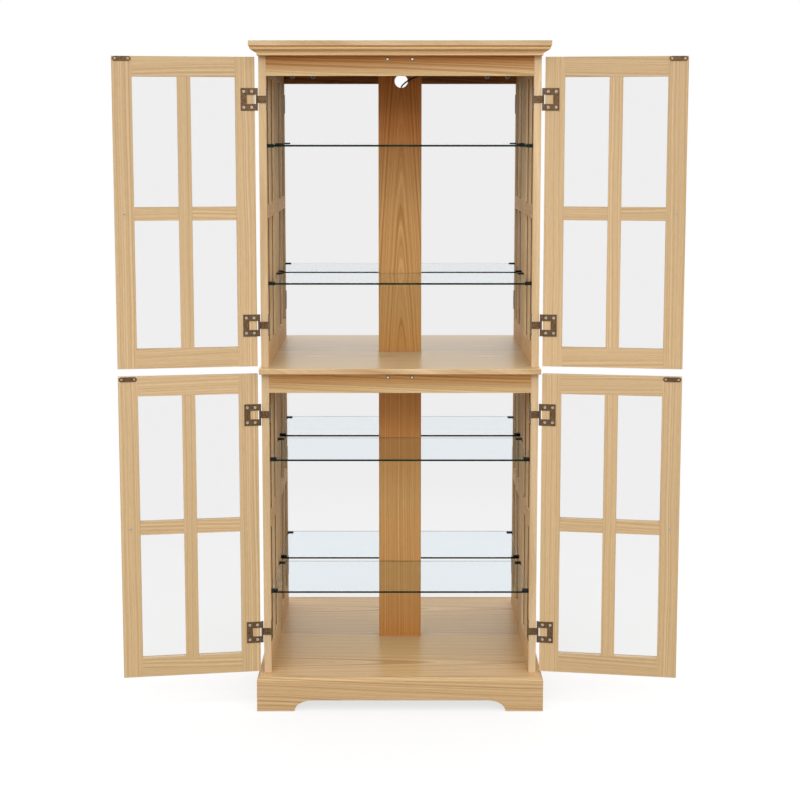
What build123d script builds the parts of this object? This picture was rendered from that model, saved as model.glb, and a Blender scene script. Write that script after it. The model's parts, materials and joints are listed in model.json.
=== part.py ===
from build123d import *
from dataclasses import dataclass
import math
import os

# Display cabinet: a glazed upper and lower unit with four doors, glass shelves and a
# mirrored back. Millimetres, +Z up, front towards -Y. A depth is counted from the front
# face of the side stiles, positive to the rear. The origin is on the floor, in the middle
# of the box round the cabinet with its doors open.

# Carcass
body_width = 755.0
body_depth = 355.0
side_thick = 20.0
rail_thick = 18.0
floor_level = 95.0
lower_frame_height = 842.5
mid_board_thick = 16.0
upper_frame_height = 862.5
upper_rail_height = 77.0
lower_rail_height = 54.0
mid_board_front = 25.0
mid_board_side = 5.0
mid_board_round = 3.0
bottom_board_thick = 18.0

# Crown
crown_thick = 14.0
crown_round = 1.0
moulding_height = 24.0
moulding_width = 22.5
moulding_lip = 2.0
moulding_foot = 3.0
quirk_step = 2.5
quirk_height = 3.5
bead_height = 6.5
bead_slope = 3.5
bead_swell = 0.8
cove_step = 2.5
cove_hollow = 2.2

# Plinth
plinth_front = 45.0
plinth_side = 17.5
plinth_thick = 18.0
plinth_chamfer_drop = 8.0
plinth_chamfer_in = 5.0
foot_width = 103.5
side_foot_width = 90.0
arch_height = 31.0
arch_corner = 49.0

# Side frames
side_front_stile = 30.0
side_rear_stile = 101.0
side_bottom_rail = 59.0
side_muntin = 36.0
side_pane_recess = 6.0

# Glass
pane_thick = 4.0
pane_fit = 0.2

# Back
centre_stile_width = 124.0
centre_stile_thick = 18.0
mirror_thick = 4.0
mirror_overlap = 20.0
back_panel_thick = 4.0
back_inset = 17.0
cable_hole_x = 3.5
cable_hole_radius = 19.0
cable_hole_drop = 80.0

# Shelves and clips
shelf_heights = (231.0, 603.0)
shelf_thick = 5.0
shelf_front = 5.0
shelf_rear_gap = 2.0
shelf_end_gap = 3.5
clip_width = 10.0
clip_plate = 3.0
clip_jaw = 2.5
clip_reach = 15.0
clip_fit = 0.1
clip_front_depth = 20.0
clip_rear_inset = 16.0
peg_radius = 2.5
peg_length = 8.0

# Doors
door_thick = 20.0
door_stile = 52.0
door_rail = 53.0
door_muntin = 36.0
door_pane_recess = 6.0
door_meeting_gap = 3.0
door_side_setback = 1.0
upper_door_bottom_gap = 4.5
upper_door_top_gap = 3.0
lower_door_bottom_gap = 6.0
lower_door_top_gap = 1.5
door_opening_deg = 171.5

# Hinges
leaf_thick = 1.6
leaf_clearance = 0.4
leaf_height = 60.0
leaf_reach = 43.0
leaf_window_height = 24.0
leaf_window_reach = 26.6
knuckle_radius = 3.0
knuckle_side_gap = 1.3
knuckle_end_gap = 0.3
pin_radius = 1.4
pin_fit = 0.1
tab_height = 19.5
inner_leaf_height = 57.0
inner_leaf_depth = 22.0
hinge_inset = 112.0
hinge_screw_near = 13.7
hinge_screw_far = 34.7
hinge_screw_rise = 20.8

# Screws
screw_head_radius = 3.5
screw_radius = 1.5
screw_length = 14.0
screw_fit = 0.1
knob_screw_radius = 2.0
knob_screw_head_radius = 3.6
knob_screw_head_height = 2.0
knob_screw_grip = 9.0

# Knobs, strike plates, magnets and cam locks
knob_radius = 14.5
knob_length = 25.0
knob_neck_radius = 6.5
knob_base_radius = 9.0
knob_base_height = 3.0
knob_flare_height = 6.0
knob_dome_height = 6.0
knob_rim_round = 1.5
strike_length = 48.0
strike_width = 13.0
strike_thick = 1.5
strike_edge_gap = 2.5
strike_screw_span = 34.0
strike_screw_head_radius = 2.6
strike_screw_radius = 1.2
strike_screw_length = 10.0
magnet_x = 33.0
magnet_radius = 5.0
magnet_core_radius = 3.0
magnet_length = 12.0
magnet_fit = 0.1
upper_magnet_drop = 6.2
lower_magnet_drop = 9.6
cam_radius = 7.5
cam_length = 10.0
cam_fit = 0.1
cam_insets = (26.5, 89.5)
cam_rise = 22.0

# Light bar
light_length = 300.0
light_width = 20.0
light_height = 9.0
light_wall = 1.5
light_rail_gap = 6.0
gland_x = 70.0
gland_length = 15.0
gland_base_radius = 4.0
gland_tip_radius = 3.0

# Cord and plug
cord_diameter = 4.5
coil_radius = 28.0
coil_pitch = 5.1
coil_layer_rise = 5.1
coil_steps = (0, 1, 2, 3, 4, 2, 1, 0)
relief_length = 20.0
relief_tip_radius = 2.9
relief_base_radius = 4.4
plug_length = 26.0
plug_width = 18.0
plug_round = 2.5
blade_length = 17.0
blade_thick = 1.5
blade_height = 6.3
blade_spacing = 12.7

# Route of the cord from the gland to its coil: x, depth and height of each point
cord_points = [
    (70.0, 59.0, 1811.5),
    (70.0, 82.0, 1811.5),
    (72.0, 108.0, 1804.0),
    (74.5, 136.0, 1790.0),
    (76.0, 165.0, 1775.5),
    (75.0, 195.0, 1763.0),
    (71.0, 225.0, 1754.5),
    (63.0, 252.0, 1750.5),
    (51.0, 274.0, 1748.0),
    (38.0, 290.0, 1744.5),
    (25.0, 301.5, 1738.5),
    (14.0, 312.0, 1731.0),
    (7.0, 326.0, 1725.0),
    (4.0, 342.0, 1721.0),
    (2.5, 356.0, 1711.5),
    (1.0, 364.5, 1696.0),
    (-1.0, 368.0, 1672.0),
    (-4.5, 369.0, 1634.0),
    (-10.0, 368.5, 1580.0),
    (-16.5, 368.0, 1521.0),
    (-23.5, 367.0, 1461.0),
    (-29.5, 366.5, 1400.0),
    (-34.5, 366.0, 1338.0),
    (-38.5, 365.0, 1276.0),
    (-41.5, 364.5, 1213.0),
    (-43.5, 364.0, 1150.0),
    (-44.5, 363.5, 1088.0),
    (-44.8, 363.5, 1025.0),
    (-44.2, 363.0, 963.0),
    (-42.8, 363.0, 900.0),
    (-40.6, 363.5, 838.0),
    (-37.8, 363.5, 776.0),
    (-34.4, 364.0, 713.0),
    (-30.5, 364.5, 651.0),
    (-26.2, 364.5, 590.0),
    (-21.4, 365.0, 528.0),
    (-16.0, 365.0, 466.0),
    (-10.0, 365.0, 405.0),
    (-3.5, 364.5, 344.0),
    (3.5, 364.5, 284.0),
    (11.0, 364.0, 225.0),
    (19.0, 363.5, 168.0),
    (27.5, 363.5, 116.0),
    (36.0, 363.0, 74.0),
    (46.0, 363.0, 41.0),
    (60.0, 363.0, 18.0),
    (80.0, 363.0, 6.0),
    (103.0, 363.0, 2.6),
    (127.0, 363.0, 2.25),
    (150.0, 363.0, 2.25),
]

# Levels and places that follow from the sizes above
body_half = body_width / 2
inner_half = body_half - side_thick
lower_ceiling = floor_level + lower_frame_height
upper_floor = lower_ceiling + mid_board_thick
upper_ceiling = upper_floor + upper_frame_height
door_gap = leaf_thick + leaf_clearance
axis_forward = knuckle_radius
axis_x = -(body_half + knuckle_radius + knuckle_side_gap)
door_hinge_x = -(body_half - door_side_setback)
door_free_x = -door_meeting_gap / 2
back_panel_rear = body_depth - back_inset
mirror_back = back_panel_rear - back_panel_thick
mirror_front = mirror_back - mirror_thick
centre_stile_front = mirror_front - centre_stile_thick
moulding_bottom = upper_ceiling - moulding_height
packer_depth = plinth_front - moulding_width
cable_hole_z = upper_ceiling - cable_hole_drop
cord_radius = cord_diameter / 2

# The open doors reach furthest forward at their free edges
opening = math.radians(door_opening_deg)
door_reach = axis_forward + (door_free_x - axis_x) * math.sin(opening)
door_reach -= (axis_forward - door_gap) * math.cos(opening)
front_y = (max(door_reach, plinth_front) - body_depth) / 2


@dataclass(frozen=True)
class Unit:
    """One glazed unit: its levels and the heights that differ between the two."""

    name: str
    floor: float
    ceiling: float
    rail_height: float
    door_bottom: float
    door_top: float
    magnet_drop: float


upper = Unit(
    "upper",
    upper_floor,
    upper_ceiling,
    upper_rail_height,
    upper_floor + upper_door_bottom_gap,
    moulding_bottom - upper_door_top_gap,
    upper_magnet_drop,
)
lower = Unit(
    "lower",
    floor_level,
    lower_ceiling,
    lower_rail_height,
    floor_level + lower_door_bottom_gap,
    lower_ceiling - lower_door_top_gap,
    lower_magnet_drop,
)
units = (upper, lower)


def place(x, depth, z):
    """Point in the cabinet's frame from a depth behind the stile fronts."""
    return Vector(x, front_y + depth, z)


def block(x0, x1, depth0, depth1, z0, z1):
    """Board between two corners, in any order."""
    middle = place((x0 + x1) / 2, (depth0 + depth1) / 2, (z0 + z1) / 2)
    return Pos(middle) * Box(abs(x1 - x0), abs(depth1 - depth0), abs(z1 - z0))


def rod(start, end, radius):
    """Cylinder between two points."""
    span = end - start
    return Plane(origin=start, z_dir=span) * Cylinder(
        radius, span.length, align=(Align.CENTER, Align.CENTER, Align.MIN)
    )


def mirrored(solid):
    """The same piece on the other side of the cabinet."""
    return solid.mirror(Plane.YZ)


def both_sides(solids):
    """Left pieces and their mirror images."""
    return solids + [mirrored(solid) for solid in solids]


def hinge_levels(unit):
    """Heights of the two hinges of a door."""
    return (unit.door_bottom + hinge_inset, unit.door_top - hinge_inset)


# Screws


def countersunk(origin, outward, head_radius, radius, head_depth, length, fit=0.0):
    """Countersunk screw whose head is flush at origin and faces outward, or its hole."""
    head = Pos(0, 0, -head_depth / 2) * Cone(radius + fit, head_radius + fit, head_depth)
    shank = Cylinder(radius + fit, length + fit, align=(Align.CENTER, Align.CENTER, Align.MAX))
    return Plane(origin=origin, z_dir=outward) * (head + shank)


def hinge_screw(origin, outward, fit=0.0):
    """Hinge screw with its head flush in a leaf."""
    return countersunk(
        origin, outward, screw_head_radius, screw_radius, leaf_thick, screw_length, fit
    )


def door_leaf_screw_places(level):
    """Head centres of the four screws of a door leaf, door closed."""
    distances = (hinge_screw_near, hinge_screw_far)
    rises = (-hinge_screw_rise, hinge_screw_rise)
    return [place(axis_x + far, -leaf_clearance, level + up) for far in distances for up in rises]


def cabinet_leaf_screw_places(level):
    """Head centres of the two screws of a cabinet leaf."""
    face = -inner_half + leaf_thick
    rises = (-hinge_screw_rise, hinge_screw_rise)
    return [place(face, inner_leaf_depth / 2, level + up) for up in rises]


def strike_screw_places(unit):
    """Head centres of the two screws of a strike plate, door closed."""
    middle = door_free_x - strike_edge_gap - strike_length / 2
    level = unit.door_top - strike_width / 2
    spans = (-strike_screw_span / 2, strike_screw_span / 2)
    return [place(middle + span, -door_gap + strike_thick, level) for span in spans]


def strike_screw(origin, fit=0.0):
    """Small screw of a strike plate."""
    return countersunk(
        origin,
        (0, 1, 0),
        strike_screw_head_radius,
        strike_screw_radius,
        strike_thick,
        strike_screw_length,
        fit,
    )


# Glazed grids, shared by the doors and the side frames


def grid_levels(bottom, top, bottom_rail, top_rail, muntin):
    """Lower and upper limits of the two rows of panes."""
    pane = (top - bottom - bottom_rail - top_rail - muntin) / 2
    low = bottom + bottom_rail
    return [(low, low + pane), (low + pane + muntin, low + 2 * pane + muntin)]


def side_frame(unit):
    """Left side frame: two stiles, two rails, one tall and two short muntins."""
    outer, inner = -body_half, -inner_half
    rows = grid_levels(
        unit.floor, unit.ceiling, side_bottom_rail, unit.rail_height, side_muntin
    )
    columns = side_columns()
    front_stile = block(outer, inner, 0, side_front_stile, unit.floor, unit.ceiling)
    rear_stile = block(
        outer, inner, body_depth - side_rear_stile, body_depth, unit.floor, unit.ceiling
    )
    depths = (side_front_stile, body_depth - side_rear_stile)
    bottom_rail = block(outer, inner, *depths, unit.floor, rows[0][0])
    top_rail = block(outer, inner, *depths, rows[1][1], unit.ceiling)
    tall = block(outer, inner, columns[0][1], columns[1][0], rows[0][0], rows[1][1])
    short = [block(outer, inner, *column, rows[0][1], rows[1][0]) for column in columns]
    for level in hinge_levels(unit):
        for head in cabinet_leaf_screw_places(level):
            front_stile -= hinge_screw(head, (1, 0, 0), screw_fit)
    for height in shelf_heights:
        front_stile -= clip_peg(unit.floor + height, clip_front_depth, clip_fit)
        rear_stile -= clip_peg(unit.floor + height, clip_rear_depth(), clip_fit)
    return [front_stile, rear_stile, bottom_rail, top_rail, tall] + short


def side_columns():
    """Front and rear limits of the two columns of side panes."""
    glazed = body_depth - side_front_stile - side_rear_stile
    pane = (glazed - side_muntin) / 2
    first = side_front_stile
    return [(first, first + pane), (first + pane + side_muntin, first + glazed)]


def side_panes(unit):
    """Four panes of the left side frame."""
    inner = -inner_half - side_pane_recess
    rows = grid_levels(
        unit.floor, unit.ceiling, side_bottom_rail, unit.rail_height, side_muntin
    )
    return [
        block(
            inner - pane_thick,
            inner,
            column[0] + pane_fit,
            column[1] - pane_fit,
            row[0] + pane_fit,
            row[1] - pane_fit,
        )
        for column in side_columns()
        for row in rows
    ]


# Shelves and their clips


def clip_rear_depth():
    """Depth of the rear clips, set in from the rear edge of the shelf."""
    return centre_stile_front - shelf_rear_gap - clip_rear_inset


def clip_peg(shelf_top, depth, fit=0.0):
    """Peg of a left clip, or its hole in the side frame."""
    level = shelf_top - shelf_thick / 2
    start = place(-inner_half, depth, level)
    end = place(-inner_half - peg_length - fit, depth, level)
    return rod(start, end, peg_radius + fit)


def shelf_clip(shelf_top, depth):
    """Left clip: wall plate, a jaw under and a jaw over the glass, and a peg."""
    wall = -inner_half
    half = clip_width / 2
    glass_bottom = shelf_top - shelf_thick
    low = glass_bottom - clip_jaw
    high = shelf_top + clip_fit + clip_jaw
    plate = block(wall, wall + clip_plate, depth - half, depth + half, low, high)
    jaws = [
        block(wall, wall + clip_plate + clip_reach, depth - half, depth + half, low, glass_bottom),
        block(
            wall,
            wall + clip_plate + clip_reach,
            depth - half,
            depth + half,
            high - clip_jaw,
            high,
        ),
    ]
    return plate + jaws[0] + jaws[1] + clip_peg(shelf_top, depth)


def shelf(shelf_top):
    """Glass shelf between the side frames."""
    half = inner_half - shelf_end_gap
    rear = centre_stile_front - shelf_rear_gap
    return block(-half, half, shelf_front, rear, shelf_top - shelf_thick, shelf_top)


# Carcass boards


def front_rail(unit):
    """Top rail of a unit, bored for its magnets and cam locks."""
    rail = block(
        -inner_half, inner_half, 0, rail_thick, unit.ceiling - unit.rail_height, unit.ceiling
    )
    for x in (-magnet_x, magnet_x):
        level = magnet_level(unit)
        end = place(x, magnet_length + magnet_fit, level)
        rail -= rod(place(x, 0, level), end, magnet_radius + magnet_fit)
    for x in cam_places():
        level = cam_level(unit)
        end = place(x, rail_thick - cam_length - cam_fit, level)
        rail -= rod(place(x, rail_thick, level), end, cam_radius + cam_fit)
    return rail


def magnet_level(unit):
    """Height of a unit's magnets."""
    return unit.door_top - unit.magnet_drop


def cam_level(unit):
    """Height of the cam locks above the underside of a rail."""
    return unit.ceiling - unit.rail_height + cam_rise


def cam_places():
    """Places of the cam locks along a rail."""
    return [side * (inner_half - inset) for side in (-1, 1) for inset in cam_insets]


def magnets(unit):
    """Steel cups with a round magnet in each."""
    pieces = []
    for x in (-magnet_x, magnet_x):
        mouth = place(x, 0, magnet_level(unit))
        end = place(x, magnet_length, magnet_level(unit))
        core = rod(mouth, end, magnet_core_radius)
        pieces += [rod(mouth, end, magnet_radius) - core, core]
    return pieces


def cam_locks(unit):
    """Cam discs in the rear face of a rail."""
    level = cam_level(unit)
    return [
        rod(place(x, rail_thick, level), place(x, rail_thick - cam_length, level), cam_radius)
        for x in cam_places()
    ]


def mid_board():
    """Board between the units, rounded at the front and sides."""
    half = body_half + mid_board_side
    board = block(-half, half, -mid_board_front, body_depth, lower_ceiling, upper_floor)
    rear = front_y + body_depth
    edges = [
        edge
        for edge in board.edges()
        if abs(edge.length - mid_board_thick) > 0.001 and edge.center().Y < rear - 0.001
    ]
    return fillet(edges, mid_board_round)


def bottom_board():
    """Floor of the cabinet, inside the plinth boards."""
    half = body_half + plinth_side - plinth_thick
    front = plinth_thick - plinth_front
    return block(-half, half, front, body_depth, floor_level - bottom_board_thick, floor_level)


def crown_top():
    """Top board over the mouldings."""
    half = body_half + moulding_width
    slab = block(
        -half, half, -plinth_front, body_depth, upper_ceiling, upper_ceiling + crown_thick
    )
    return fillet(slab.edges().filter_by(Axis.Z, reverse=True), crown_round)


# Mitred lengths round the front and sides


def plan_prism(points, bottom, top):
    """Upright prism over a plan outline of x and depth."""
    outline = Polyline([place(x, depth, bottom) for x, depth in points], close=True)
    return extrude(make_face(outline), amount=top - bottom, dir=(0, 0, 1))


def mitred_front(section, half, depth, width):
    """Length of a section across the front, mitred at both ends."""
    start = place(half + width, depth, 0)
    plane = Plane(origin=start, x_dir=(0, -1, 0), z_dir=(-1, 0, 0))
    length = extrude(plane * section, amount=2 * (half + width))
    box = section.bounding_box()
    plan = [
        (-half - width, depth - width),
        (half + width, depth - width),
        (half, depth),
        (-half, depth),
    ]
    return length & plan_prism(plan, box.min.Y, box.max.Y)


def mitred_side(section, half, depth, width):
    """Length of a section along the right side, mitred at its front end."""
    start = place(half, body_depth, 0)
    plane = Plane(origin=start, x_dir=(1, 0, 0), z_dir=(0, -1, 0))
    length = extrude(plane * section, amount=body_depth - depth + width)
    box = section.bounding_box()
    plan = [
        (half, depth),
        (half + width, depth - width),
        (half + width, body_depth),
        (half, body_depth),
    ]
    return length & plan_prism(plan, box.min.Y, box.max.Y)


def moulding_section():
    """Crown moulding section: quirk, bead and cove, drawn outward and up."""
    top = upper_ceiling
    quirk_out = moulding_width - quirk_step
    bead_top = (quirk_out, top - quirk_height)
    bead_bottom = (quirk_out - bead_slope, top - quirk_height - bead_height)
    bead_middle = (
        (bead_top[0] + bead_bottom[0]) / 2 + bead_swell,
        (bead_top[1] + bead_bottom[1]) / 2,
    )
    cove_top = (bead_bottom[0] - cove_step, bead_bottom[1])
    cove_bottom = (moulding_lip, moulding_bottom + moulding_foot)
    cove_middle = (
        (cove_top[0] + cove_bottom[0]) / 2 - cove_hollow,
        (cove_top[1] + cove_bottom[1]) / 2 + cove_hollow,
    )
    outline = [
        Line((0, top), (quirk_out, top)),
        Line((quirk_out, top), bead_top),
        ThreePointArc(bead_top, bead_middle, bead_bottom),
        Line(bead_bottom, cove_top),
        ThreePointArc(cove_top, cove_middle, cove_bottom),
        Line(cove_bottom, (moulding_lip, moulding_bottom)),
        Line((moulding_lip, moulding_bottom), (0, moulding_bottom)),
        Line((0, moulding_bottom), (0, top)),
    ]
    return make_face(Wire(outline))


def crown_moulding():
    """Front and side lengths of the crown moulding."""
    section = moulding_section()
    front = mitred_front(section, body_half, -packer_depth, moulding_width)
    side = mitred_side(section, body_half, -packer_depth, moulding_width)
    return [front, side, mirrored(side)]


def plinth_section():
    """Plinth board section with its outer top edge bevelled."""
    outline = Polyline(
        (0, 0),
        (plinth_thick, 0),
        (plinth_thick, floor_level - plinth_chamfer_drop),
        (plinth_thick - plinth_chamfer_in, floor_level),
        (0, floor_level),
        close=True,
    )
    return make_face(outline)


def arch_outline(start, end):
    """Arched gap from start to end along the foot of a board, with round corners."""
    left = start + arch_corner
    right = end - arch_corner
    outline = [
        EllipticalCenterArc((left, 0), arch_corner, arch_height, 90, arc_size=90),
        Line((left, arch_height), (right, arch_height)),
        EllipticalCenterArc((right, 0), arch_corner, arch_height, 0, arc_size=90),
        Line((end, 0), (start, 0)),
    ]
    return make_face(Wire(outline))


def plinth_front_board():
    """Arched front board of the plinth."""
    half = body_half + plinth_side - plinth_thick
    depth = plinth_thick - plinth_front
    board = mitred_front(plinth_section(), half, depth, plinth_thick)
    reach = body_half + plinth_side - foot_width
    plane = Plane(origin=place(0, depth, 0), x_dir=(1, 0, 0), z_dir=(0, -1, 0))
    return board - extrude(plane * arch_outline(-reach, reach), amount=plinth_thick)


def plinth_side_board():
    """Arched right side board of the plinth."""
    half = body_half + plinth_side - plinth_thick
    depth = plinth_thick - plinth_front
    board = mitred_side(plinth_section(), half, depth, plinth_thick)
    plane = Plane(origin=place(half, 0, 0), x_dir=(0, 1, 0), z_dir=(1, 0, 0))
    arch = arch_outline(side_foot_width - plinth_front, body_depth - side_foot_width)
    return board - extrude(plane * arch, amount=plinth_thick)


def plinth_back_board():
    """Plain board closing the back of the plinth."""
    half = body_half + plinth_side - plinth_thick
    top = floor_level - bottom_board_thick
    return block(-half, half, body_depth - plinth_thick, body_depth, 0, top)


# Back


def cable_bore(front, rear):
    """Round cable hole between two depths."""
    start = place(cable_hole_x, front, cable_hole_z)
    return rod(start, place(cable_hole_x, rear, cable_hole_z), cable_hole_radius)


def centre_stile(unit):
    """Upright board over the joint between the mirrors."""
    half = centre_stile_width / 2
    return block(-half, half, centre_stile_front, mirror_front, unit.floor, unit.ceiling)


def mirror_pane(unit):
    """Left mirror of a unit."""
    inner = -(centre_stile_width / 2 - mirror_overlap)
    return block(-inner_half, inner, mirror_front, mirror_back, unit.floor, unit.ceiling)


def back_panel(unit):
    """Thin panel behind the mirrors."""
    return block(
        -inner_half, inner_half, mirror_back, back_panel_rear, unit.floor, unit.ceiling
    )


# Doors, built closed on the left side


def door_frame(unit):
    """Stiles and rails of a door, with pilot holes."""
    outer, inner = -door_gap - door_thick, -door_gap
    depths = (outer, inner)
    hinge_inner = door_hinge_x + door_stile
    free_inner = door_free_x - door_stile
    hinge_stile = block(door_hinge_x, hinge_inner, *depths, unit.door_bottom, unit.door_top)
    free_stile = block(free_inner, door_free_x, *depths, unit.door_bottom, unit.door_top)
    bottom_rail = block(
        hinge_inner, free_inner, *depths, unit.door_bottom, unit.door_bottom + door_rail
    )
    top_rail = block(hinge_inner, free_inner, *depths, unit.door_top - door_rail, unit.door_top)
    for level in hinge_levels(unit):
        for head in door_leaf_screw_places(level):
            hinge_stile -= hinge_screw(head, (0, 1, 0), screw_fit)
    for head in strike_screw_places(unit):
        free_stile -= strike_screw(head, screw_fit)
    free_stile -= knob_bore(unit, outer, inner)
    return [hinge_stile, free_stile, bottom_rail, top_rail]


def door_columns():
    """Left and right limits of the two columns of door panes."""
    start = door_hinge_x + door_stile
    end = door_free_x - door_stile
    pane = (end - start - door_muntin) / 2
    return [(start, start + pane), (end - pane, end)]


def door_rows(unit):
    """Lower and upper limits of the two rows of door panes."""
    return grid_levels(unit.door_bottom, unit.door_top, door_rail, door_rail, door_muntin)


def door_muntins(unit):
    """Tall muntin and two short ones."""
    columns, rows = door_columns(), door_rows(unit)
    depths = (-door_gap - door_thick, -door_gap)
    tall = block(columns[0][1], columns[1][0], *depths, rows[0][0], rows[1][1])
    return [tall] + [block(*column, *depths, rows[0][1], rows[1][0]) for column in columns]


def door_panes(unit):
    """Four panes of a door."""
    inner = -door_gap - door_pane_recess
    return [
        block(
            column[0] + pane_fit,
            column[1] - pane_fit,
            inner - pane_thick,
            inner,
            row[0] + pane_fit,
            row[1] - pane_fit,
        )
        for column in door_columns()
        for row in door_rows(unit)
    ]


def barrel(level, bottom, top, radius):
    """Round bar on the hinge axis between two heights about a hinge's middle."""
    start = place(axis_x, -axis_forward, level + bottom)
    return rod(start, place(axis_x, -axis_forward, level + top), radius)


def door_leaf(level):
    """Hinge leaf on the inside of a door, open towards the pin, with two knuckles."""
    half = leaf_height / 2
    gap = leaf_window_height / 2
    leaf = block(
        axis_x, axis_x + leaf_reach, -door_gap, -leaf_clearance, level - half, level + half
    )
    leaf -= block(
        axis_x - knuckle_radius,
        axis_x + leaf_window_reach,
        -door_gap,
        -leaf_clearance,
        level - gap,
        level + gap,
    )
    leaf += barrel(level, gap, half, knuckle_radius)
    leaf += barrel(level, -half, -gap, knuckle_radius)
    leaf -= barrel(level, -half, half, pin_radius + pin_fit)
    for head in door_leaf_screw_places(level):
        leaf -= hinge_screw(head, (0, 1, 0), screw_fit)
    return leaf


def cabinet_leaf(level):
    """Hinge leaf that wraps the stile: knuckle, front tab and inner plate."""
    half = inner_leaf_height / 2
    gap = leaf_window_height / 2 - knuckle_end_gap
    inner = -inner_half + leaf_thick
    leaf = block(
        axis_x, inner, -leaf_thick, 0, level - tab_height / 2, level + tab_height / 2
    )
    leaf += block(-inner_half, inner, 0, inner_leaf_depth, level - half, level + half)
    leaf += barrel(level, -gap, gap, knuckle_radius)
    leaf -= barrel(level, -gap, gap, pin_radius + pin_fit)
    for head in cabinet_leaf_screw_places(level):
        leaf -= hinge_screw(head, (1, 0, 0), screw_fit)
    return leaf


def strike_plate(unit):
    """Steel plate that meets the magnet, with round ends."""
    middle = door_free_x - strike_edge_gap - strike_length / 2
    origin = place(middle, -door_gap, unit.door_top - strike_width / 2)
    outline = SlotOverall(strike_length, strike_width)
    plane = Plane(origin=origin, x_dir=(-1, 0, 0), z_dir=(0, 1, 0))
    plate = extrude(plane * outline, amount=strike_thick)
    for head in strike_screw_places(unit):
        plate -= strike_screw(head, screw_fit)
    return plate


def knob_axis(unit, depth):
    """Point on the knob's axis: the middle of the free stile, at half height."""
    level = (unit.door_bottom + unit.door_top) / 2
    return place(door_free_x - door_stile / 2, depth, level)


def knob_bore(unit, outer, inner):
    """Hole through the free stile for the knob's screw."""
    return rod(knob_axis(unit, inner), knob_axis(unit, outer), knob_screw_radius + screw_fit)


def knob(unit):
    """Turned knob with a domed face on the outer side, and a blind hole for its screw."""
    hole_radius = knob_screw_radius + screw_fit
    hole_end = knob_screw_grip + screw_fit
    rim = knob_length - knob_dome_height
    head_bottom = rim - knob_flare_height
    dome_radius = (knob_radius**2 + knob_dome_height**2) / (2 * knob_dome_height)
    half_turn = math.asin(knob_radius / dome_radius) / 2
    dome_middle = (
        dome_radius * math.sin(half_turn),
        knob_length - dome_radius * (1 - math.cos(half_turn)),
    )
    outline = [
        Line((hole_radius, 0), (knob_base_radius, 0)),
        Line((knob_base_radius, 0), (knob_base_radius, knob_base_height)),
        Line((knob_base_radius, knob_base_height), (knob_neck_radius, knob_base_height)),
        Line((knob_neck_radius, knob_base_height), (knob_neck_radius, head_bottom)),
        Line((knob_neck_radius, head_bottom), (knob_radius, rim)),
        ThreePointArc((knob_radius, rim), dome_middle, (0, knob_length)),
        Line((0, knob_length), (0, hole_end)),
        Line((0, hole_end), (hole_radius, hole_end)),
        Line((hole_radius, hole_end), (hole_radius, 0)),
    ]
    turned = revolve(make_face(Wire(outline)), axis=Axis.Y)
    rim_edges = [edge for edge in turned.edges() if abs(edge.center().Y - rim) < 0.01]
    turned = fillet(rim_edges, knob_rim_round)
    return Pos(knob_axis(unit, -door_gap - door_thick)) * Rot(0, 0, 180) * turned


def knob_screw(unit):
    """Round-headed screw from the inside of the door into the knob."""
    inner = -door_gap
    head = rod(
        knob_axis(unit, inner),
        knob_axis(unit, inner + knob_screw_head_height),
        knob_screw_head_radius,
    )
    end = knob_axis(unit, inner - door_thick - knob_screw_grip)
    return head + rod(knob_axis(unit, inner), end, knob_screw_radius)


def door_screws(unit):
    """All screws of one door."""
    screws = [
        hinge_screw(head, (0, 1, 0))
        for level in hinge_levels(unit)
        for head in door_leaf_screw_places(level)
    ]
    screws += [strike_screw(head) for head in strike_screw_places(unit)]
    return screws + [knob_screw(unit)]


def door_pieces(unit):
    """Sub-parts of a closed left door by name."""
    return {
        "frame": door_frame(unit),
        "muntins": door_muntins(unit),
        "panes": door_panes(unit),
        "hinge_leaves": [door_leaf(level) for level in hinge_levels(unit)],
        "strike_plate": [strike_plate(unit)],
        "knob": [knob(unit)],
        "screws": door_screws(unit),
    }


def opened(solid):
    """A piece of a closed left door, swung open on its hinges."""
    axis = Axis(place(axis_x, -axis_forward, 0), (0, 0, 1))
    return solid.rotate(axis, -door_opening_deg)


# Light bar


def light_bar():
    """Shallow channel under the crown with its diffuser and a gland for the cord."""
    front = rail_thick + light_rail_gap
    rear = front + light_width
    half = light_length / 2
    bottom = upper_ceiling - light_height
    housing = block(-half, half, front, rear, bottom, upper_ceiling)
    pocket = (
        -half + light_wall,
        half - light_wall,
        front + light_wall,
        rear - light_wall,
        bottom,
        bottom + light_height / 2,
    )
    housing -= block(*pocket)
    level = upper_ceiling - light_height / 2
    gland = Cone(
        gland_base_radius,
        gland_tip_radius,
        gland_length,
        align=(Align.CENTER, Align.CENTER, Align.MIN),
    )
    plane = Plane(origin=place(gland_x, rear, level), z_dir=(0, 1, 0))
    return [housing + plane * gland, block(*pocket)]


# Cord


def corner_radii(points):
    """Bend radius at each inner point of a route, as large as its runs allow."""
    radii = []
    for before, corner, after in zip(points, points[1:], points[2:]):
        into, out = corner - before, after - corner
        turn = math.radians(into.get_angle(out))
        radii.append(0.45 * min(into.length, out.length) / math.tan(turn / 2))
    return radii


def cord_run():
    """Free length of the cord from the gland down to its coil."""
    points = [place(*point) for point in cord_points]
    radii = corner_radii(points)
    print("cord bend radii", [round(radius, 1) for radius in radii])
    path = FilletPolyline(*points, radius=radii)
    start = Plane(origin=points[0], z_dir=path % 0)
    tube = sweep(start * Circle(cord_radius), path=path)
    section = math.pi * cord_radius**2
    ratio = tube.volume / (section * path.length)
    print("cord run length", round(path.length, 1), "volume over section times length", ratio)
    return tube


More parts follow.
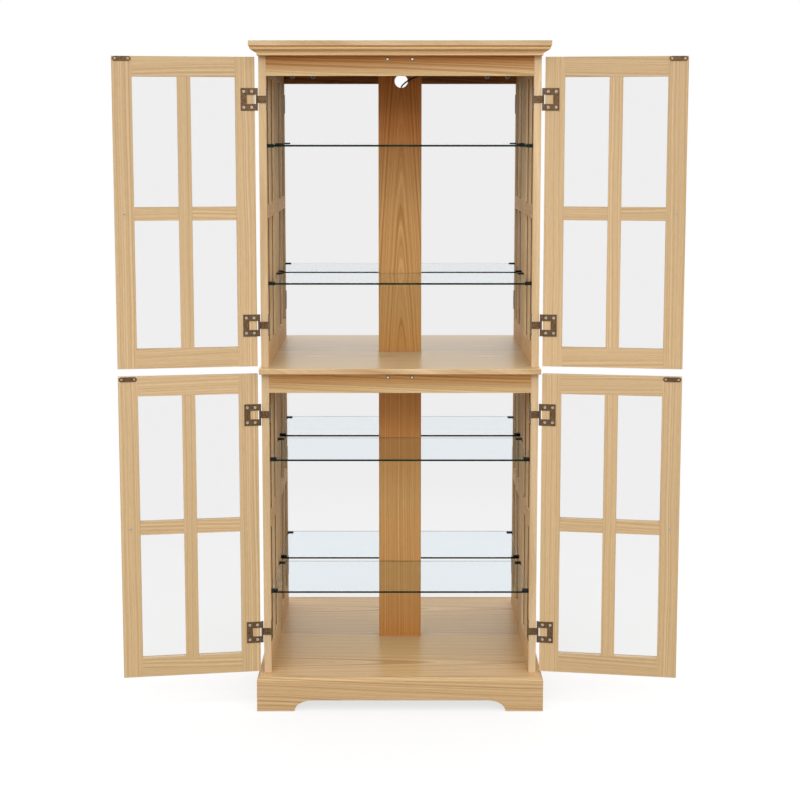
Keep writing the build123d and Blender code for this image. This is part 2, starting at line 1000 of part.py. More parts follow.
def coil_path():
    """Half turns that spiral in on the floor, climb one layer and spiral out again."""
    start = place(*cord_points[-1])
    first = start + Vector(cord_diameter, 0, 0)
    centre_y = first.Y + coil_radius
    middle_layer = len(coil_steps) // 2
    ends = []
    for count, step in enumerate(coil_steps):
        side = -1 if count % 2 == 0 else 1
        radius = coil_radius - step * coil_pitch / 2
        level = first.Z + (coil_layer_rise if count >= middle_layer else 0)
        ends.append(Vector(first.X, centre_y + side * radius, level))
    pieces = [Line(start, ends[0])]
    for count, (near, far) in enumerate(zip(ends, ends[1:])):
        outward = 1 if count % 2 == 0 else -1
        middle = (near + far) / 2 + Vector(outward * (far - near).length / 2, 0, 0)
        pieces.append(ThreePointArc(near, middle, far))
    tail = ends[-1] - Vector(cord_diameter, 0, 0)
    pieces.append(Line(ends[-1], tail))
    return Wire(pieces), tail


def least_gap(path, samples=900):
    """Least clear gap of a coiled tube to itself, measured on points."""
    points = [path @ (count / samples) for count in range(samples + 1)]
    step = path.length / samples
    apart = int(math.ceil(3 * cord_diameter / step))
    least = min(
        (points[first] - points[second]).length
        for first in range(samples + 1)
        for second in range(first + apart, samples + 1)
    )
    return least - cord_diameter


def cord_coil():
    """Stored length of the cord, wound flat on the floor behind the cabinet."""
    path, tail = coil_path()
    start = Plane(origin=path @ 0, z_dir=path % 0)
    tube = sweep(start * Circle(cord_radius), path=path)
    print("coil length", round(path.length, 1), "least gap", round(least_gap(path), 2))
    return tube, tail


def plug(tail):
    """Moulded plug with a tapered strain relief and two flat blades."""
    half = tail.Z
    relief = Plane(origin=tail, z_dir=(-1, 0, 0)) * Cone(
        relief_tip_radius,
        relief_base_radius,
        relief_length,
        align=(Align.CENTER, Align.CENTER, Align.MIN),
    )
    middle = tail - Vector(relief_length + plug_length / 2, 0, 0)
    body = Pos(middle) * Box(plug_length, plug_width, 2 * half)
    body = fillet(body.edges().filter_by(Axis.X), plug_round)
    blade_x = tail.X - relief_length - plug_length - blade_length / 2
    blades = [
        Pos(blade_x, tail.Y + side * blade_spacing / 2, half)
        * Box(blade_length, blade_thick, blade_height)
        for side in (-1, 1)
    ]
    return [body + relief] + blades


# Nodes

nodes = {
    "crown_top": [crown_top()],
    "crown_moulding": crown_moulding(),
    "crown_packer": [
        block(-body_half, body_half, -packer_depth, 0, moulding_bottom, upper_ceiling)
    ],
    "mid_board": [mid_board()],
    "bottom_board": [bottom_board()],
    "plinth_front": [plinth_front_board()],
    "plinth_returns": [
        plinth_side_board(),
        mirrored(plinth_side_board()),
        plinth_back_board(),
    ],
    "side_panes": both_sides(side_panes(upper) + side_panes(lower)),
    "mirrors": both_sides([mirror_pane(unit) for unit in units]),
    "back_panels": [],
    "shelf_clips": [],
    "hinge_cabinet_leaves": [],
    "hinge_pins": [],
    "hinge_cabinet_screws": [],
    "door_magnets": magnets(upper) + magnets(lower),
    "cam_locks": cam_locks(upper) + cam_locks(lower),
    "light_bar": light_bar(),
    "cord_run": [cord_run()],
}

coil, coil_tail = cord_coil()
nodes["cord_coil"] = [coil]
nodes["plug"] = plug(coil_tail)

for unit in units:
    nodes[f"top_rail_{unit.name}"] = [front_rail(unit)]
    left_frame = side_frame(unit)
    nodes[f"side_frame_{unit.name}_left"] = left_frame
    nodes[f"side_frame_{unit.name}_right"] = [mirrored(solid) for solid in left_frame]
    nodes[f"centre_stile_{unit.name}"] = [centre_stile(unit)]
    nodes["back_panels"].append(back_panel(unit))
    for number, height in enumerate(shelf_heights, start=1):
        shelf_top = unit.floor + height
        nodes[f"shelf_{unit.name}_{number}"] = [shelf(shelf_top)]
        for depth in (clip_front_depth, clip_rear_depth()):
            nodes["shelf_clips"] += both_sides([shelf_clip(shelf_top, depth)])
    for level in hinge_levels(unit):
        half = leaf_height / 2
        pieces = both_sides([cabinet_leaf(level)])
        nodes["hinge_cabinet_leaves"] += pieces
        nodes["hinge_pins"] += both_sides([barrel(level, -half, half, pin_radius)])
        screws = [hinge_screw(head, (1, 0, 0)) for head in cabinet_leaf_screw_places(level)]
        nodes["hinge_cabinet_screws"] += both_sides(screws)
    for name, solids in door_pieces(unit).items():
        left_door = [opened(solid) for solid in solids]
        nodes[f"door_{unit.name}_left_{name}"] = left_door
        nodes[f"door_{unit.name}_right_{name}"] = [mirrored(solid) for solid in left_door]

# The cable hole goes through the upper centre stile and the panel behind it
for name in ("centre_stile_upper", "back_panels"):
    bore = cable_bore(centre_stile_front - 1, back_panel_rear + 1)
    nodes[name] = [solid - bore for solid in nodes[name]]

os.makedirs("parts", exist_ok=True)
for name, shapes in nodes.items():
    solids = [solid for shape in shapes for solid in shape.solids()]
    body = solids[0] if len(solids) == 1 else Compound(solids)
    export_step(body, f"parts/{name}.step")
print(len(nodes), "nodes")
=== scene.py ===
"""Display cabinet: the looks of a tall glazed oak cabinet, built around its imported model."""

import json
import logging
import math
import random
from collections import Counter
from dataclasses import dataclass
from enum import Enum
from functools import partial
from typing import Any, Callable, Iterable

import bmesh
import bpy
from mathutils import Matrix, Vector

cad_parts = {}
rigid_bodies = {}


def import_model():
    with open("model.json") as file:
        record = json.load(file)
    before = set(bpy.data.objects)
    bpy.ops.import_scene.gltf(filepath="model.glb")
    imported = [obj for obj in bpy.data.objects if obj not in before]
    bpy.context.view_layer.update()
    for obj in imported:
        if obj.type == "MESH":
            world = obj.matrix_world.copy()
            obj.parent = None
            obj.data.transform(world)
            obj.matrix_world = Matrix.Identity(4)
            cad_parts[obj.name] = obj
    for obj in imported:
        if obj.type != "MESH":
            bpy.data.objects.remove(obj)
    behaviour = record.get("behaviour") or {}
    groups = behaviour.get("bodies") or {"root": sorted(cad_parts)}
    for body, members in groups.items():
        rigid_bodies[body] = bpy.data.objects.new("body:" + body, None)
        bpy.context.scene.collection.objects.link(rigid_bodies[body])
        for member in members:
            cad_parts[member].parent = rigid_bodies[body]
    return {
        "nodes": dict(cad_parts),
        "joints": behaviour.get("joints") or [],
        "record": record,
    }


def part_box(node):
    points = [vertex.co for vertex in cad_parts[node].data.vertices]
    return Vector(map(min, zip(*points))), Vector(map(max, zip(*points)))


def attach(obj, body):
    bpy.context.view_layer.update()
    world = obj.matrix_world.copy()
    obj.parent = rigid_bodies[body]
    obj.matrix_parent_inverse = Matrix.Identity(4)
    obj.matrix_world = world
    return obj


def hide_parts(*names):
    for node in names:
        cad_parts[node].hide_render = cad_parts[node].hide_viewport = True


LOG = logging.getLogger("cabinet")
MM = 0.001
WELD = 0.001 * MM
FLAT = math.radians(0.5)

NodeAdder = Callable[..., bpy.types.Node]
Tone = tuple[float, float, float]


# Colour and shader helpers


def linear(code: str) -> tuple[float, float, float, float]:
    """Linear colour of an sRGB hex code.

    Args:
        code: Six hex digits after a hash.

    Returns:
        Red, green, blue and an alpha of 1.
    """
    parts = [int(code[start : start + 2], 16) / 255 for start in (1, 3, 5)]
    red, green, blue = (
        part / 12.92 if part <= 0.04045 else ((part + 0.055) / 1.055) ** 2.4 for part in parts
    )
    return red, green, blue, 1.0


def add_node(
    tree: bpy.types.NodeTree,
    kind: str,
    inputs: dict[Any, Any] | tuple[Any, ...] = (),
    **settings: Any,
) -> bpy.types.Node:
    """Adds a node with its settings and links.

    Args:
        tree: Tree that gets the node.
        kind: Blender's name for the kind of node.
        inputs: Its inputs in order, or by name or number. Each is a value, an output socket, or
            a node whose first output is meant.
        settings: Attributes of the node; stops are a ramp's places and hex colours.

    Returns:
        The new node.
    """
    node = tree.nodes.new(kind)
    for name, value in settings.items():
        if name == "stops":
            elements = node.color_ramp.elements
            while len(elements) < len(value):
                elements.new(1.0)
            for element, (place, code) in zip(elements, value):
                element.position = place
                element.color = linear(code)
        else:
            setattr(node, name, value)
    for name, value in inputs.items() if isinstance(inputs, dict) else enumerate(inputs):
        if isinstance(value, bpy.types.Node):
            value = value.outputs[0]
        if isinstance(value, bpy.types.NodeSocket):
            tree.links.new(value, node.inputs[name])
        else:
            node.inputs[name].default_value = value
    return node


def empty_tree(owner: bpy.types.Material | bpy.types.World) -> NodeAdder:
    """Empties the node tree of a material or world.

    Args:
        owner: The material or world.

    Returns:
        add_node, bound to that tree.
    """
    owner.use_nodes = True
    owner.node_tree.nodes.clear()
    return partial(add_node, owner.node_tree)


# Mesh helpers


def deselect_all() -> None:
    """Leaves no object selected or active."""
    for item in bpy.context.view_layer.objects:
        item.select_set(False)
    bpy.context.view_layer.objects.active = None


def choose(piece: bpy.types.Object) -> None:
    """Makes one object the only one selected, and active.

    Args:
        piece: The object.
    """
    deselect_all()
    piece.select_set(True)
    bpy.context.view_layer.objects.active = piece


def apply_modifier(piece: bpy.types.Object, kind: str, **settings: Any) -> None:
    """Adds a modifier to an object and applies it.

    Args:
        piece: The object.
        kind: Blender's name for the kind of modifier.
        settings: Attributes of the modifier.
    """
    choose(piece)
    modifier = piece.modifiers.new(kind.lower(), kind)
    for name, value in settings.items():
        setattr(modifier, name, value)
    bpy.ops.object.modifier_apply(modifier=modifier.name)


def smooth(piece: bpy.types.Object, degrees: float = 40.0) -> None:
    """Shades an object smooth up to an angle, with its flat faces kept flat.

    Args:
        piece: The object.
        degrees: Largest angle that is shaded smooth.
    """
    choose(piece)
    bpy.ops.object.shade_smooth_by_angle(angle=math.radians(degrees))
    apply_modifier(piece, "WEIGHTED_NORMAL", keep_sharp=True, weight=100)


def islands(mesh: bpy.types.Mesh) -> list[list[int]]:
    """Loose parts of a mesh.

    Args:
        mesh: The mesh.

    Returns:
        One list of vertex numbers for each loose part, in the order of their first vertices.
    """
    parent = list(range(len(mesh.vertices)))

    def top(number: int) -> int:
        """Walks up to the first vertex of the part that a vertex is in.

        Args:
            number: The vertex's number.

        Returns:
            The first vertex's number.
        """
        while parent[number] != number:
            parent[number] = parent[parent[number]]
            number = parent[number]
        return number

    for edge in mesh.edges:
        first, second = (top(number) for number in edge.vertices)
        parent[max(first, second)] = min(first, second)
    groups: dict[int, list[int]] = {}
    for number in range(len(parent)):
        groups.setdefault(top(number), []).append(number)
    return list(groups.values())


def box_of(places: Iterable[Vector]) -> tuple[Vector, Vector]:
    """Low and high corner of some places."""
    axes = list(zip(*places))
    return Vector([min(axis) for axis in axes]), Vector([max(axis) for axis in axes])


def settle(piece: bpy.types.Object) -> None:
    """Puts an object's place, turn and scale into its mesh."""
    choose(piece)
    bpy.ops.object.transform_apply(location=True, rotation=True, scale=True)


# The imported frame


@dataclass
class Frame:
    """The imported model, with what each node rides on and is made of."""

    nodes: dict[str, bpy.types.Object]
    bodies: dict[str, str]
    slots: dict[str, str]
    swings: dict[str, float]
    front: float

    @classmethod
    def load(cls) -> "Frame":
        """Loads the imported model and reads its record.

        Returns:
            The frame.
        """
        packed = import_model()
        behaviour = packed["record"]["behaviour"]
        bodies = {node: body for body, nodes in behaviour["bodies"].items() for node in nodes}
        slots = {row["node"]: row["material_slot"] for row in packed["record"]["subparts"]}
        swings = {
            joint["child"]: math.radians(joint["range_deg"][1]) * joint["axis"][2]
            for joint in packed["joints"]
        }
        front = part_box("top_rail_upper")[0].y
        return cls(packed["nodes"], bodies, slots, swings, front)

    def swing(self, node: str) -> float:
        """Turn about Z that would close a node's door, or 0 in the carcass."""
        return self.swings.get(self.bodies[node], 0.0)

    def seat(self, piece: bpy.types.Object, *nodes: str) -> None:
        """Lets a piece stand for CAD nodes and ride as they do.

        Args:
            piece: The finished piece.
            nodes: The nodes that it replaces, all on one body.
        """
        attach(piece, self.bodies[nodes[0]])
        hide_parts(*nodes)
        LOG.info("%s stands for %s", piece.name, ", ".join(nodes))

    def solid_copy(self, node: str, name: str) -> bpy.types.Object:
        """Copy of a node with each solid welded by itself and its flat faces whole.

        A node's faces come solid after solid, and a solid is whole once each of its edges has
        been met from both sides. Boards that touch are so never welded to each other.

        Args:
            node: The CAD node.
            name: Name of the copy.

        Returns:
            The copy, in place.
        """
        source = self.nodes[node].data
        mesh = bmesh.new()
        corners: dict[tuple[int, ...], bmesh.types.BMVert] = {}
        waiting: Counter = Counter()
        for face in source.polygons:
            places = [source.vertices[number].co for number in face.vertices]
            keys = [tuple(round(value / WELD) for value in place) for place in places]
            # A sliver whose corners meet has no area
            if len(set(keys)) < len(keys):
                continue
            for key, place in zip(keys, places):
                if key not in corners:
                    corners[key] = mesh.verts.new(place)
            mesh.faces.new([corners[key] for key in keys])
            for first, second in zip(keys, keys[1:] + keys[:1]):
                if waiting[second, first]:
                    waiting[second, first] -= 1
                else:
                    waiting[first, second] += 1
            if not waiting.total():
                corners = {}
                waiting.clear()
        bmesh.ops.dissolve_limit(
            mesh, angle_limit=FLAT, verts=mesh.verts, edges=mesh.edges, delimit=set()
        )
        data = bpy.data.meshes.new(name)
        mesh.to_mesh(data)
        mesh.free()
        piece = bpy.data.objects.new(name, data)
        bpy.context.scene.collection.objects.link(piece)
        return piece


def ease_arrises(
    piece: bpy.types.Object, width: float, shortest: float, sharpest: float = 30.0
) -> None:
    """Rounds the long sharp edges of a piece, as sanding does.

    Args:
        piece: The piece.
        width: Width of the rounding, in metres.
        shortest: Length under which an edge is left sharp, in metres.
        sharpest: Angle over which an edge counts as sharp, in degrees.
    """
    mesh = bmesh.new()
    mesh.from_mesh(piece.data)
    weights = mesh.edges.layers.float.new("bevel_weight_edge")
    for edge in mesh.edges:
        long_enough = edge.calc_length() > shortest
        if long_enough and edge.calc_face_angle(0.0) > math.radians(sharpest):
            edge[weights] = 1.0
    mesh.to_mesh(piece.data)
    mesh.free()
    apply_modifier(
        piece, "BEVEL", width=width, segments=2, limit_method="WEIGHT", use_clamp_overlap=True
    )


# Oak


@dataclass(frozen=True)
class Cut:
    """How a board was sawn from the log, in metres but for the taper.

    Attributes:
        heart: How far to one side of the board's middle the heart of the log lies.
        depth: How far behind the board's face the heart lies.
        taper: How fast the rings close along the board, which draws arches.
        contrast: How strongly the rings show.
    """

    heart: float
    depth: float
    taper: float
    contrast: float


class Figure(Enum):
    """Figures that an oak board's face can show."""

    STRAIGHT = Cut(0.35, 0.03, 0.004, 0.8)
    COMBED = Cut(0.14, 0.05, 0.02, 0.75)
    ARCHED = Cut(0.016, 0.022, 0.06, 1.35)
    BROAD = Cut(0.06, 0.04, 0.035, 1.25)


@dataclass(frozen=True)
class Streaks:
    """Noise drawn out along the grain.

    Attributes:
        length: Length of a streak, in metres.
        width: Width of a streak, in metres.
        detail: Detail of the noise.
    """

    length: float
    width: float
    detail: float

    def noise(self, add: NodeAdder, grain: bpy.types.NodeSocket) -> bpy.types.Node:
        """Adds the noise to a material.

        Args:
            add: Adds a node to the material.
            grain: Place in the board: along, across and through, in metres.

        Returns:
            The noise, from 0 to 1.
        """
        scale = (1 / self.length, 1 / self.width, 1 / self.width)
        place = add("ShaderNodeVectorMath", (grain, scale), operation="MULTIPLY")
        return add("ShaderNodeTexNoise", {"Vector": place, "Scale": 1.0, "Detail": self.detail})


@dataclass(frozen=True)
class OakFinish:
    """Natural oak veneer under satin lacquer: pale, with fine soft grain and shallow pores.

    The rings are drawn coarser than the 2 to 3 mm of real oak, as coarse as the render can show.
    A range gives the lowest and highest value of a noise and what they become.
    """

    name: str = "oak_veneer_satin"
    late_wood: str = "#D7BB98"
    middle_wood: str = "#C8AB85"
    early_wood: str = "#B4926A"
    pore: str = "#9E7A50"
    ring_spacing: float = 5.2 * MM
    ring_detail: float = 3.0
    ring_roughness: float = 0.62
    ring_stops: tuple[float, float, float] = (0.26, 0.5, 0.74)
    warp: Streaks = Streaks(500.0 * MM, 90.0 * MM, 2.0)
    warp_height: float = 16.0 * MM
    streaks: Streaks = Streaks(260.0 * MM, 1.7 * MM, 3.0)
    flecks: Streaks = Streaks(26.0 * MM, 1.6 * MM, 2.0)
    fleck_share: float = 0.8
    figure_range: tuple[float, float, float, float] = (0.6, 1.2, 0.90, 1.09)
    pores: Streaks = Streaks(10.0 * MM, 0.5 * MM, 1.0)
    pore_range: tuple[float, float, float, float] = (0.60, 0.76, 0.0, 0.4)
    pore_relief: float = 0.25
    pore_depth: float = 0.08 * MM
    lacquer_ior: float = 1.36
    sheen: float = 0.08
    smoothest: float = 0.48
    roughest: float = 0.62

    def material(self) -> bpy.types.Material:
        """Makes oak that follows the grain, cut, contrast and stain attributes of its boards;
        the stain attribute also carries painted shade and painted light.

        Returns:
            The material.
        """
        material = bpy.data.materials.new(self.name)
        add = empty_tree(material)
        grain, cut, stain = (
            add("ShaderNodeAttribute", attribute_name=name).outputs["Vector"]
            for name in ("grain", "cut", "stain")
        )
        contrast = add("ShaderNodeAttribute", attribute_name="contrast").outputs["Fac"]
        rings = add("ShaderNodeMath", (self._rings(add, grain, cut), 0.5), operation="SUBTRACT")
        rings = add("ShaderNodeMath", (rings, contrast, 0.5), operation="MULTIPLY_ADD")
        woods = (self.early_wood, self.middle_wood, self.late_wood)
        colour = add("ShaderNodeValToRGB", (rings,), stops=tuple(zip(self.ring_stops, woods)))
        streaks, flecks, pores = (
            lines.noise(add, grain) for lines in (self.streaks, self.flecks, self.pores)
        )
        figure = (flecks, self.fleck_share, streaks)
        figure = add("ShaderNodeMath", figure, operation="MULTIPLY_ADD")
        shade = add("ShaderNodeMapRange", (figure, *self.figure_range))
        colour = add("ShaderNodeVectorMath", {0: colour, "Scale": shade}, operation="SCALE")
        # Multiplies in the board's stain: real tone, and on some boards painted shade and
        # painted light
        colour = add("ShaderNodeVectorMath", (colour, stain), operation="MULTIPLY")
        open_pores = add("ShaderNodeMapRange", (pores, *self.pore_range))
        mix = {"Factor": open_pores, 6: colour, 7: linear(self.pore)}
        colour = add("ShaderNodeMix", mix, data_type="RGBA").outputs[2]
        height = add("ShaderNodeMath", (open_pores, -1.0, 1.0), operation="MULTIPLY_ADD")
        relief = {"Height": height, "Strength": self.pore_relief, "Distance": self.pore_depth}
        shader = {
            "Base Color": colour,
            "Roughness": add(
                "ShaderNodeMapRange", (streaks, 0.0, 1.0, self.smoothest, self.roughest)
            ),
            "Normal": add("ShaderNodeBump", relief),
            "IOR": self.lacquer_ior,
            "Specular IOR Level": self.sheen,
        }
        add("ShaderNodeOutputMaterial", (add("ShaderNodeBsdfPrincipled", shader),))
        return material

    def _rings(
        self, add: NodeAdder, grain: bpy.types.NodeSocket, cut: bpy.types.NodeSocket
    ) -> bpy.types.Node:
        """Adds the growth rings, as bands of their distance from the heart.

        Args:
            add: Adds a node to the material.
            grain: Place in the board: along, across and through, in metres.
            cut: The board's heart, depth and taper.

        Returns:
            The bands, about 0.5 in the middle.
        """
        place = add("ShaderNodeSeparateXYZ", (grain,)).outputs
        sawn = add("ShaderNodeSeparateXYZ", (cut,)).outputs
        swirl = (self.warp.noise(add, grain), self.warp_height, place[1])
        swirl = add("ShaderNodeMath", swirl, operation="MULTIPLY_ADD")
        across = add("ShaderNodeMath", (swirl, sawn[0]), operation="SUBTRACT")
        through = add("ShaderNodeMath", (place[2], sawn[1]), operation="ADD")
        square = add("ShaderNodeMath", (through, through), operation="MULTIPLY")
        square = add("ShaderNodeMath", (across, across, square), operation="MULTIPLY_ADD")
        radius = add("ShaderNodeMath", (square,), operation="SQRT")
        distance = add("ShaderNodeMath", (place[0], sawn[2], radius), operation="MULTIPLY_ADD")
        bands = {
            "W": distance,
            "Scale": 1 / self.ring_spacing,
            "Detail": self.ring_detail,
            "Roughness": self.ring_roughness,
        }
        return add("ShaderNodeTexNoise", bands, noise_dimensions="1D")


@dataclass(frozen=True)
class StainAndShade:
    """Tone of boards against the plain oak, as it changes from their foot to their head: real
    stain, and on the rails, centre stiles and crown moulding also painted shade and painted
    light.

    Attributes:
        start: Start of the names of the nodes that have it.
        tones: Shares of red, green and blue that they give back, at even steps up them.
    """

    start: str = ""
    tones: tuple[Tone, ...] = ((1.0, 1.0, 1.0),)

    def at(self, share: float) -> Vector:
        """Tone at a height.

        Args:
            share: The height, from 0 at the foot to 1 at the head.

        Returns:
            Red, green and blue.
        """
        step = max(0.0, min(share, 1.0)) * (len(self.tones) - 1)
        below = int(step)
        above = min(below + 1, len(self.tones) - 1)
        return Vector(self.tones[below]).lerp(Vector(self.tones[above]), step - below)


@dataclass
class OakWork:
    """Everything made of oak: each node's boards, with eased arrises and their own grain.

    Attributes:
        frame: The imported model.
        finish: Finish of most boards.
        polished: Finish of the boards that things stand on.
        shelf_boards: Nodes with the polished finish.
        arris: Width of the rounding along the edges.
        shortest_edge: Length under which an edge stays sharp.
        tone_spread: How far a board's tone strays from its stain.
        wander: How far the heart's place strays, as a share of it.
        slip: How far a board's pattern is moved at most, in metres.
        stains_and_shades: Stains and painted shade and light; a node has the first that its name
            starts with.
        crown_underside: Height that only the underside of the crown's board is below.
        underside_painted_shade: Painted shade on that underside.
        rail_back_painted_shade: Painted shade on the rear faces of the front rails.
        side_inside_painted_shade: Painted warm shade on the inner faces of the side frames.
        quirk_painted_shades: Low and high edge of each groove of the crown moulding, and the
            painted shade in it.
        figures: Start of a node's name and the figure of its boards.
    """

    frame: Frame
    finish: OakFinish = OakFinish()
    polished: OakFinish = OakFinish(
        name="oak_veneer_polished", sheen=0.3, smoothest=0.24, roughest=0.36
    )
    shelf_boards: tuple[str, ...] = ("mid_board", "bottom_board")
    arris: float = 0.6 * MM
    shortest_edge: float = 9.0 * MM
    tone_spread: float = 0.03
    wander: float = 0.3
    slip: float = 6.0
    stains_and_shades: tuple[StainAndShade, ...] = (
        # Upper centre stile: redder than plain oak, and painted shade that makes it darker at
        # its foot and darker and redder towards its head, under the crown
        StainAndShade(
            "centre_stile_upper",
            (
                (0.82, 0.57, 0.30),
                (1.00, 0.76, 0.48),
                (1.00, 0.77, 0.50),
                (0.91, 0.51, 0.27),
                (1.10, 0.61, 0.29),
            ),
        ),
        # Lower centre stile: redder than plain oak, with painted shade darker and redder at its
        # foot and below its head, and painted light at its head under the mid board
        StainAndShade(
            "centre_stile_lower",
            (
                (0.80, 0.49, 0.23),
                (1.02, 0.75, 0.46),
                (1.12, 0.91, 0.62),
                (1.18, 0.76, 0.43),
                (1.60, 1.14, 0.74),
            ),
        ),
        # Upper front rail: painted shade, darker and redder towards its head under the crown
        # moulding
        StainAndShade("top_rail_upper", ((1.10, 1.14, 1.06), (0.72, 0.49, 0.29), (1.00, 0.50, 0.26))),
        # Lower front rail: painted shade, darker and redder up to near its head under the mid
        # board, and painted light at its head
        StainAndShade(
            "top_rail_lower",
            (
                (1.10, 1.14, 1.10),
                (0.97, 0.94, 0.80),
                (0.85, 0.73, 0.54),
                (0.88, 0.67, 0.43),
                (1.35, 1.05, 0.75),
            ),
        ),
        StainAndShade("crown_top", ((0.95, 0.97, 0.96),)),
        # Painted light: the crown moulding lighter all over, as it lies in the crown's shade
        StainAndShade("crown_moulding", ((1.30, 1.28, 1.20),)),
        StainAndShade("mid_board", ((1.00, 1.00, 0.94),)),
        StainAndShade("bottom_board", ((1.06, 0.98, 0.80),)),
        StainAndShade("plinth", ((1.00, 0.97, 0.88),)),
        StainAndShade("door_upper", ((1.05, 1.07, 1.06), (0.93, 0.95, 0.95))),
        StainAndShade("door_lower", ((1.01, 1.03, 0.98), (1.02, 1.04, 1.04))),
        StainAndShade("side_frame", ((1.06, 1.09, 1.10),)),
        StainAndShade(),
    )
    # Painted shade: the crown board's underside, the front rails' backs and the moulding's
    # grooves darker, the side frames' insides warmer and darker
    crown_underside: float = 1816.1 * MM
    underside_painted_shade: Tone = (0.5, 0.28, 0.14)
    rail_back_painted_shade: Tone = (0.6, 0.36, 0.24)
    side_inside_painted_shade: Tone = (1.03, 0.89, 0.76)
    quirk_painted_shades: tuple[tuple[float, float, Tone], ...] = (
        (1812.2 * MM, 1817.0 * MM, (0.64, 0.46, 0.30)),
        (1805.7 * MM, 1806.3 * MM, (0.80, 0.58, 0.38)),
    )
    figures: tuple[tuple[str, Figure], ...] = (
        ("centre_stile_upper", Figure.ARCHED),
        ("centre_stile_lower", Figure.STRAIGHT),
        ("top_rail", Figure.BROAD),
        ("bottom_board", Figure.BROAD),
        ("mid_board", Figure.BROAD),
        ("plinth", Figure.BROAD),
        ("crown", Figure.COMBED),
    )

    def build(self) -> None:
        """Dresses every oak node."""
        satin, polished = self.finish.material(), self.polished.material()
        for node, slot in self.frame.slots.items():
            if slot != "oak":
                continue
            piece = self.frame.solid_copy(node, f"{node}_oak")
            ease_arrises(piece, self.arris, self.shortest_edge)
            stain = next(stain for stain in self.stains_and_shades if node.startswith(stain.start))
            self._add_rows(piece, len(stain.tones) - 1)
            smooth(piece)
            self._lay_grain(piece, node, stain)
            piece.data.materials.append(polished if node in self.shelf_boards else satin)
            self.frame.seat(piece, node)

    def _figure(self, node: str, upright: bool) -> Figure:
        """Figure of a board.

        Args:
            node: The node that the board is in.
            upright: True for a stile or an upright muntin.

        Returns:
            The figure.
        """
        for start, figure in self.figures:
            if node.startswith(start):
                return figure
        return Figure.STRAIGHT if upright else Figure.COMBED

    def _shade(self, node: str, place: Vector, foot: Vector, head: Vector) -> Vector:
        """Painted shade on the crown's grooves and underside, the rails' backs and the sides'
        insides.

        Args:
            node: The node that the board is in.
            place: A place on it.
            foot: Low corner of the node.
            head: High corner of the node.

        Returns:
            Share of red, green and blue that the place gives back.
        """
        if node == "crown_top" and place.z < self.crown_underside:
            return Vector(self.underside_painted_shade)
        if node.startswith("top_rail") and place.y > head.y - WELD:
            return Vector(self.rail_back_painted_shade)
        if node.startswith("side_frame") and abs(place.x) < min(abs(foot.x), abs(head.x)) + WELD:
            return Vector(self.side_inside_painted_shade)
        if node == "crown_moulding":
            for low, high, tone in self.quirk_painted_shades:
                if low < place.z < high:
                    return Vector(tone)
        return Vector((1.0, 1.0, 1.0))

    @staticmethod
    def _add_rows(piece: bpy.types.Object, steps: int) -> None:
        """Adds level rows of points at even steps up a piece, for a stain or painted shade that
        changes there.

        Args:
            piece: The piece.
            steps: Steps from its foot to its head.
        """
        mesh = bmesh.new()
        mesh.from_mesh(piece.data)
        foot, head = box_of(vertex.co for vertex in mesh.verts)
        for step in range(1, steps):
            bmesh.ops.bisect_plane(
                mesh,
                geom=mesh.verts[:] + mesh.edges[:] + mesh.faces[:],
                plane_co=foot.lerp(head, step / steps),
                plane_no=(0, 0, 1),
            )
        mesh.to_mesh(piece.data)
        mesh.free()

    def _lay_grain(self, piece: bpy.types.Object, node: str, stain: StainAndShade) -> None:
        """Writes each board's grain, cut, contrast and stain, with its painted shade and light,
        as attributes of its points.

        Args:
            piece: The piece, whose loose parts are its boards.
            node: The node that it stands for.
            stain: Its stain, with painted shade and light.
        """
        mesh = piece.data
        names = ("grain", "cut", "stain")
        for name in names:
            mesh.attributes.new(name, "FLOAT_VECTOR", "POINT")
        mesh.attributes.new("contrast", "FLOAT", "POINT")
        # Looked up only now, as each new attribute moves the others in memory
        grain, cuts, stains_and_shades = (mesh.attributes[name].data for name in names)
        contrasts = mesh.attributes["contrast"].data
        foot, head = box_of(vertex.co for vertex in mesh.vertices)
        unturn = Matrix.Rotation(self.frame.swing(node), 3, "Z")
        for count, board in enumerate(islands(mesh)):
            chance = random.Random(f"{node} {count}")
            places = [unturn @ mesh.vertices[number].co for number in board]
            low, high = box_of(places)
            middle = (low + high) / 2
            along, across, through = sorted(range(3), key=lambda axis: low[axis] - high[axis])
            figure = self._figure(node, along == 2)
            cut = figure.value
            side = 1 if figure is Figure.ARCHED else chance.choice((-1, 1))
            wander = chance.uniform(1 - self.wander, 1 + self.wander)
            slip = Vector([chance.uniform(-self.slip, self.slip) for _ in range(3)])
            tone = chance.uniform(1 - self.tone_spread, 1 + self.tone_spread)
            for number, place in zip(board, places):
                offset = place - middle
                laid = Vector((offset[along], offset[across], offset[through])) + slip
                grain[number].vector = laid
                cuts[number].vector = (
                    slip.y + cut.heart * side * wander,
                    cut.depth - slip.z,
                    cut.taper,
                )
                height = (place.z - foot.z) / (head.z - foot.z)
                shade = self._shade(node, place, foot, head)
                stains_and_shades[number].vector = stain.at(height) * shade * tone
                contrasts[number].value = cut.contrast


# Glass and mirror


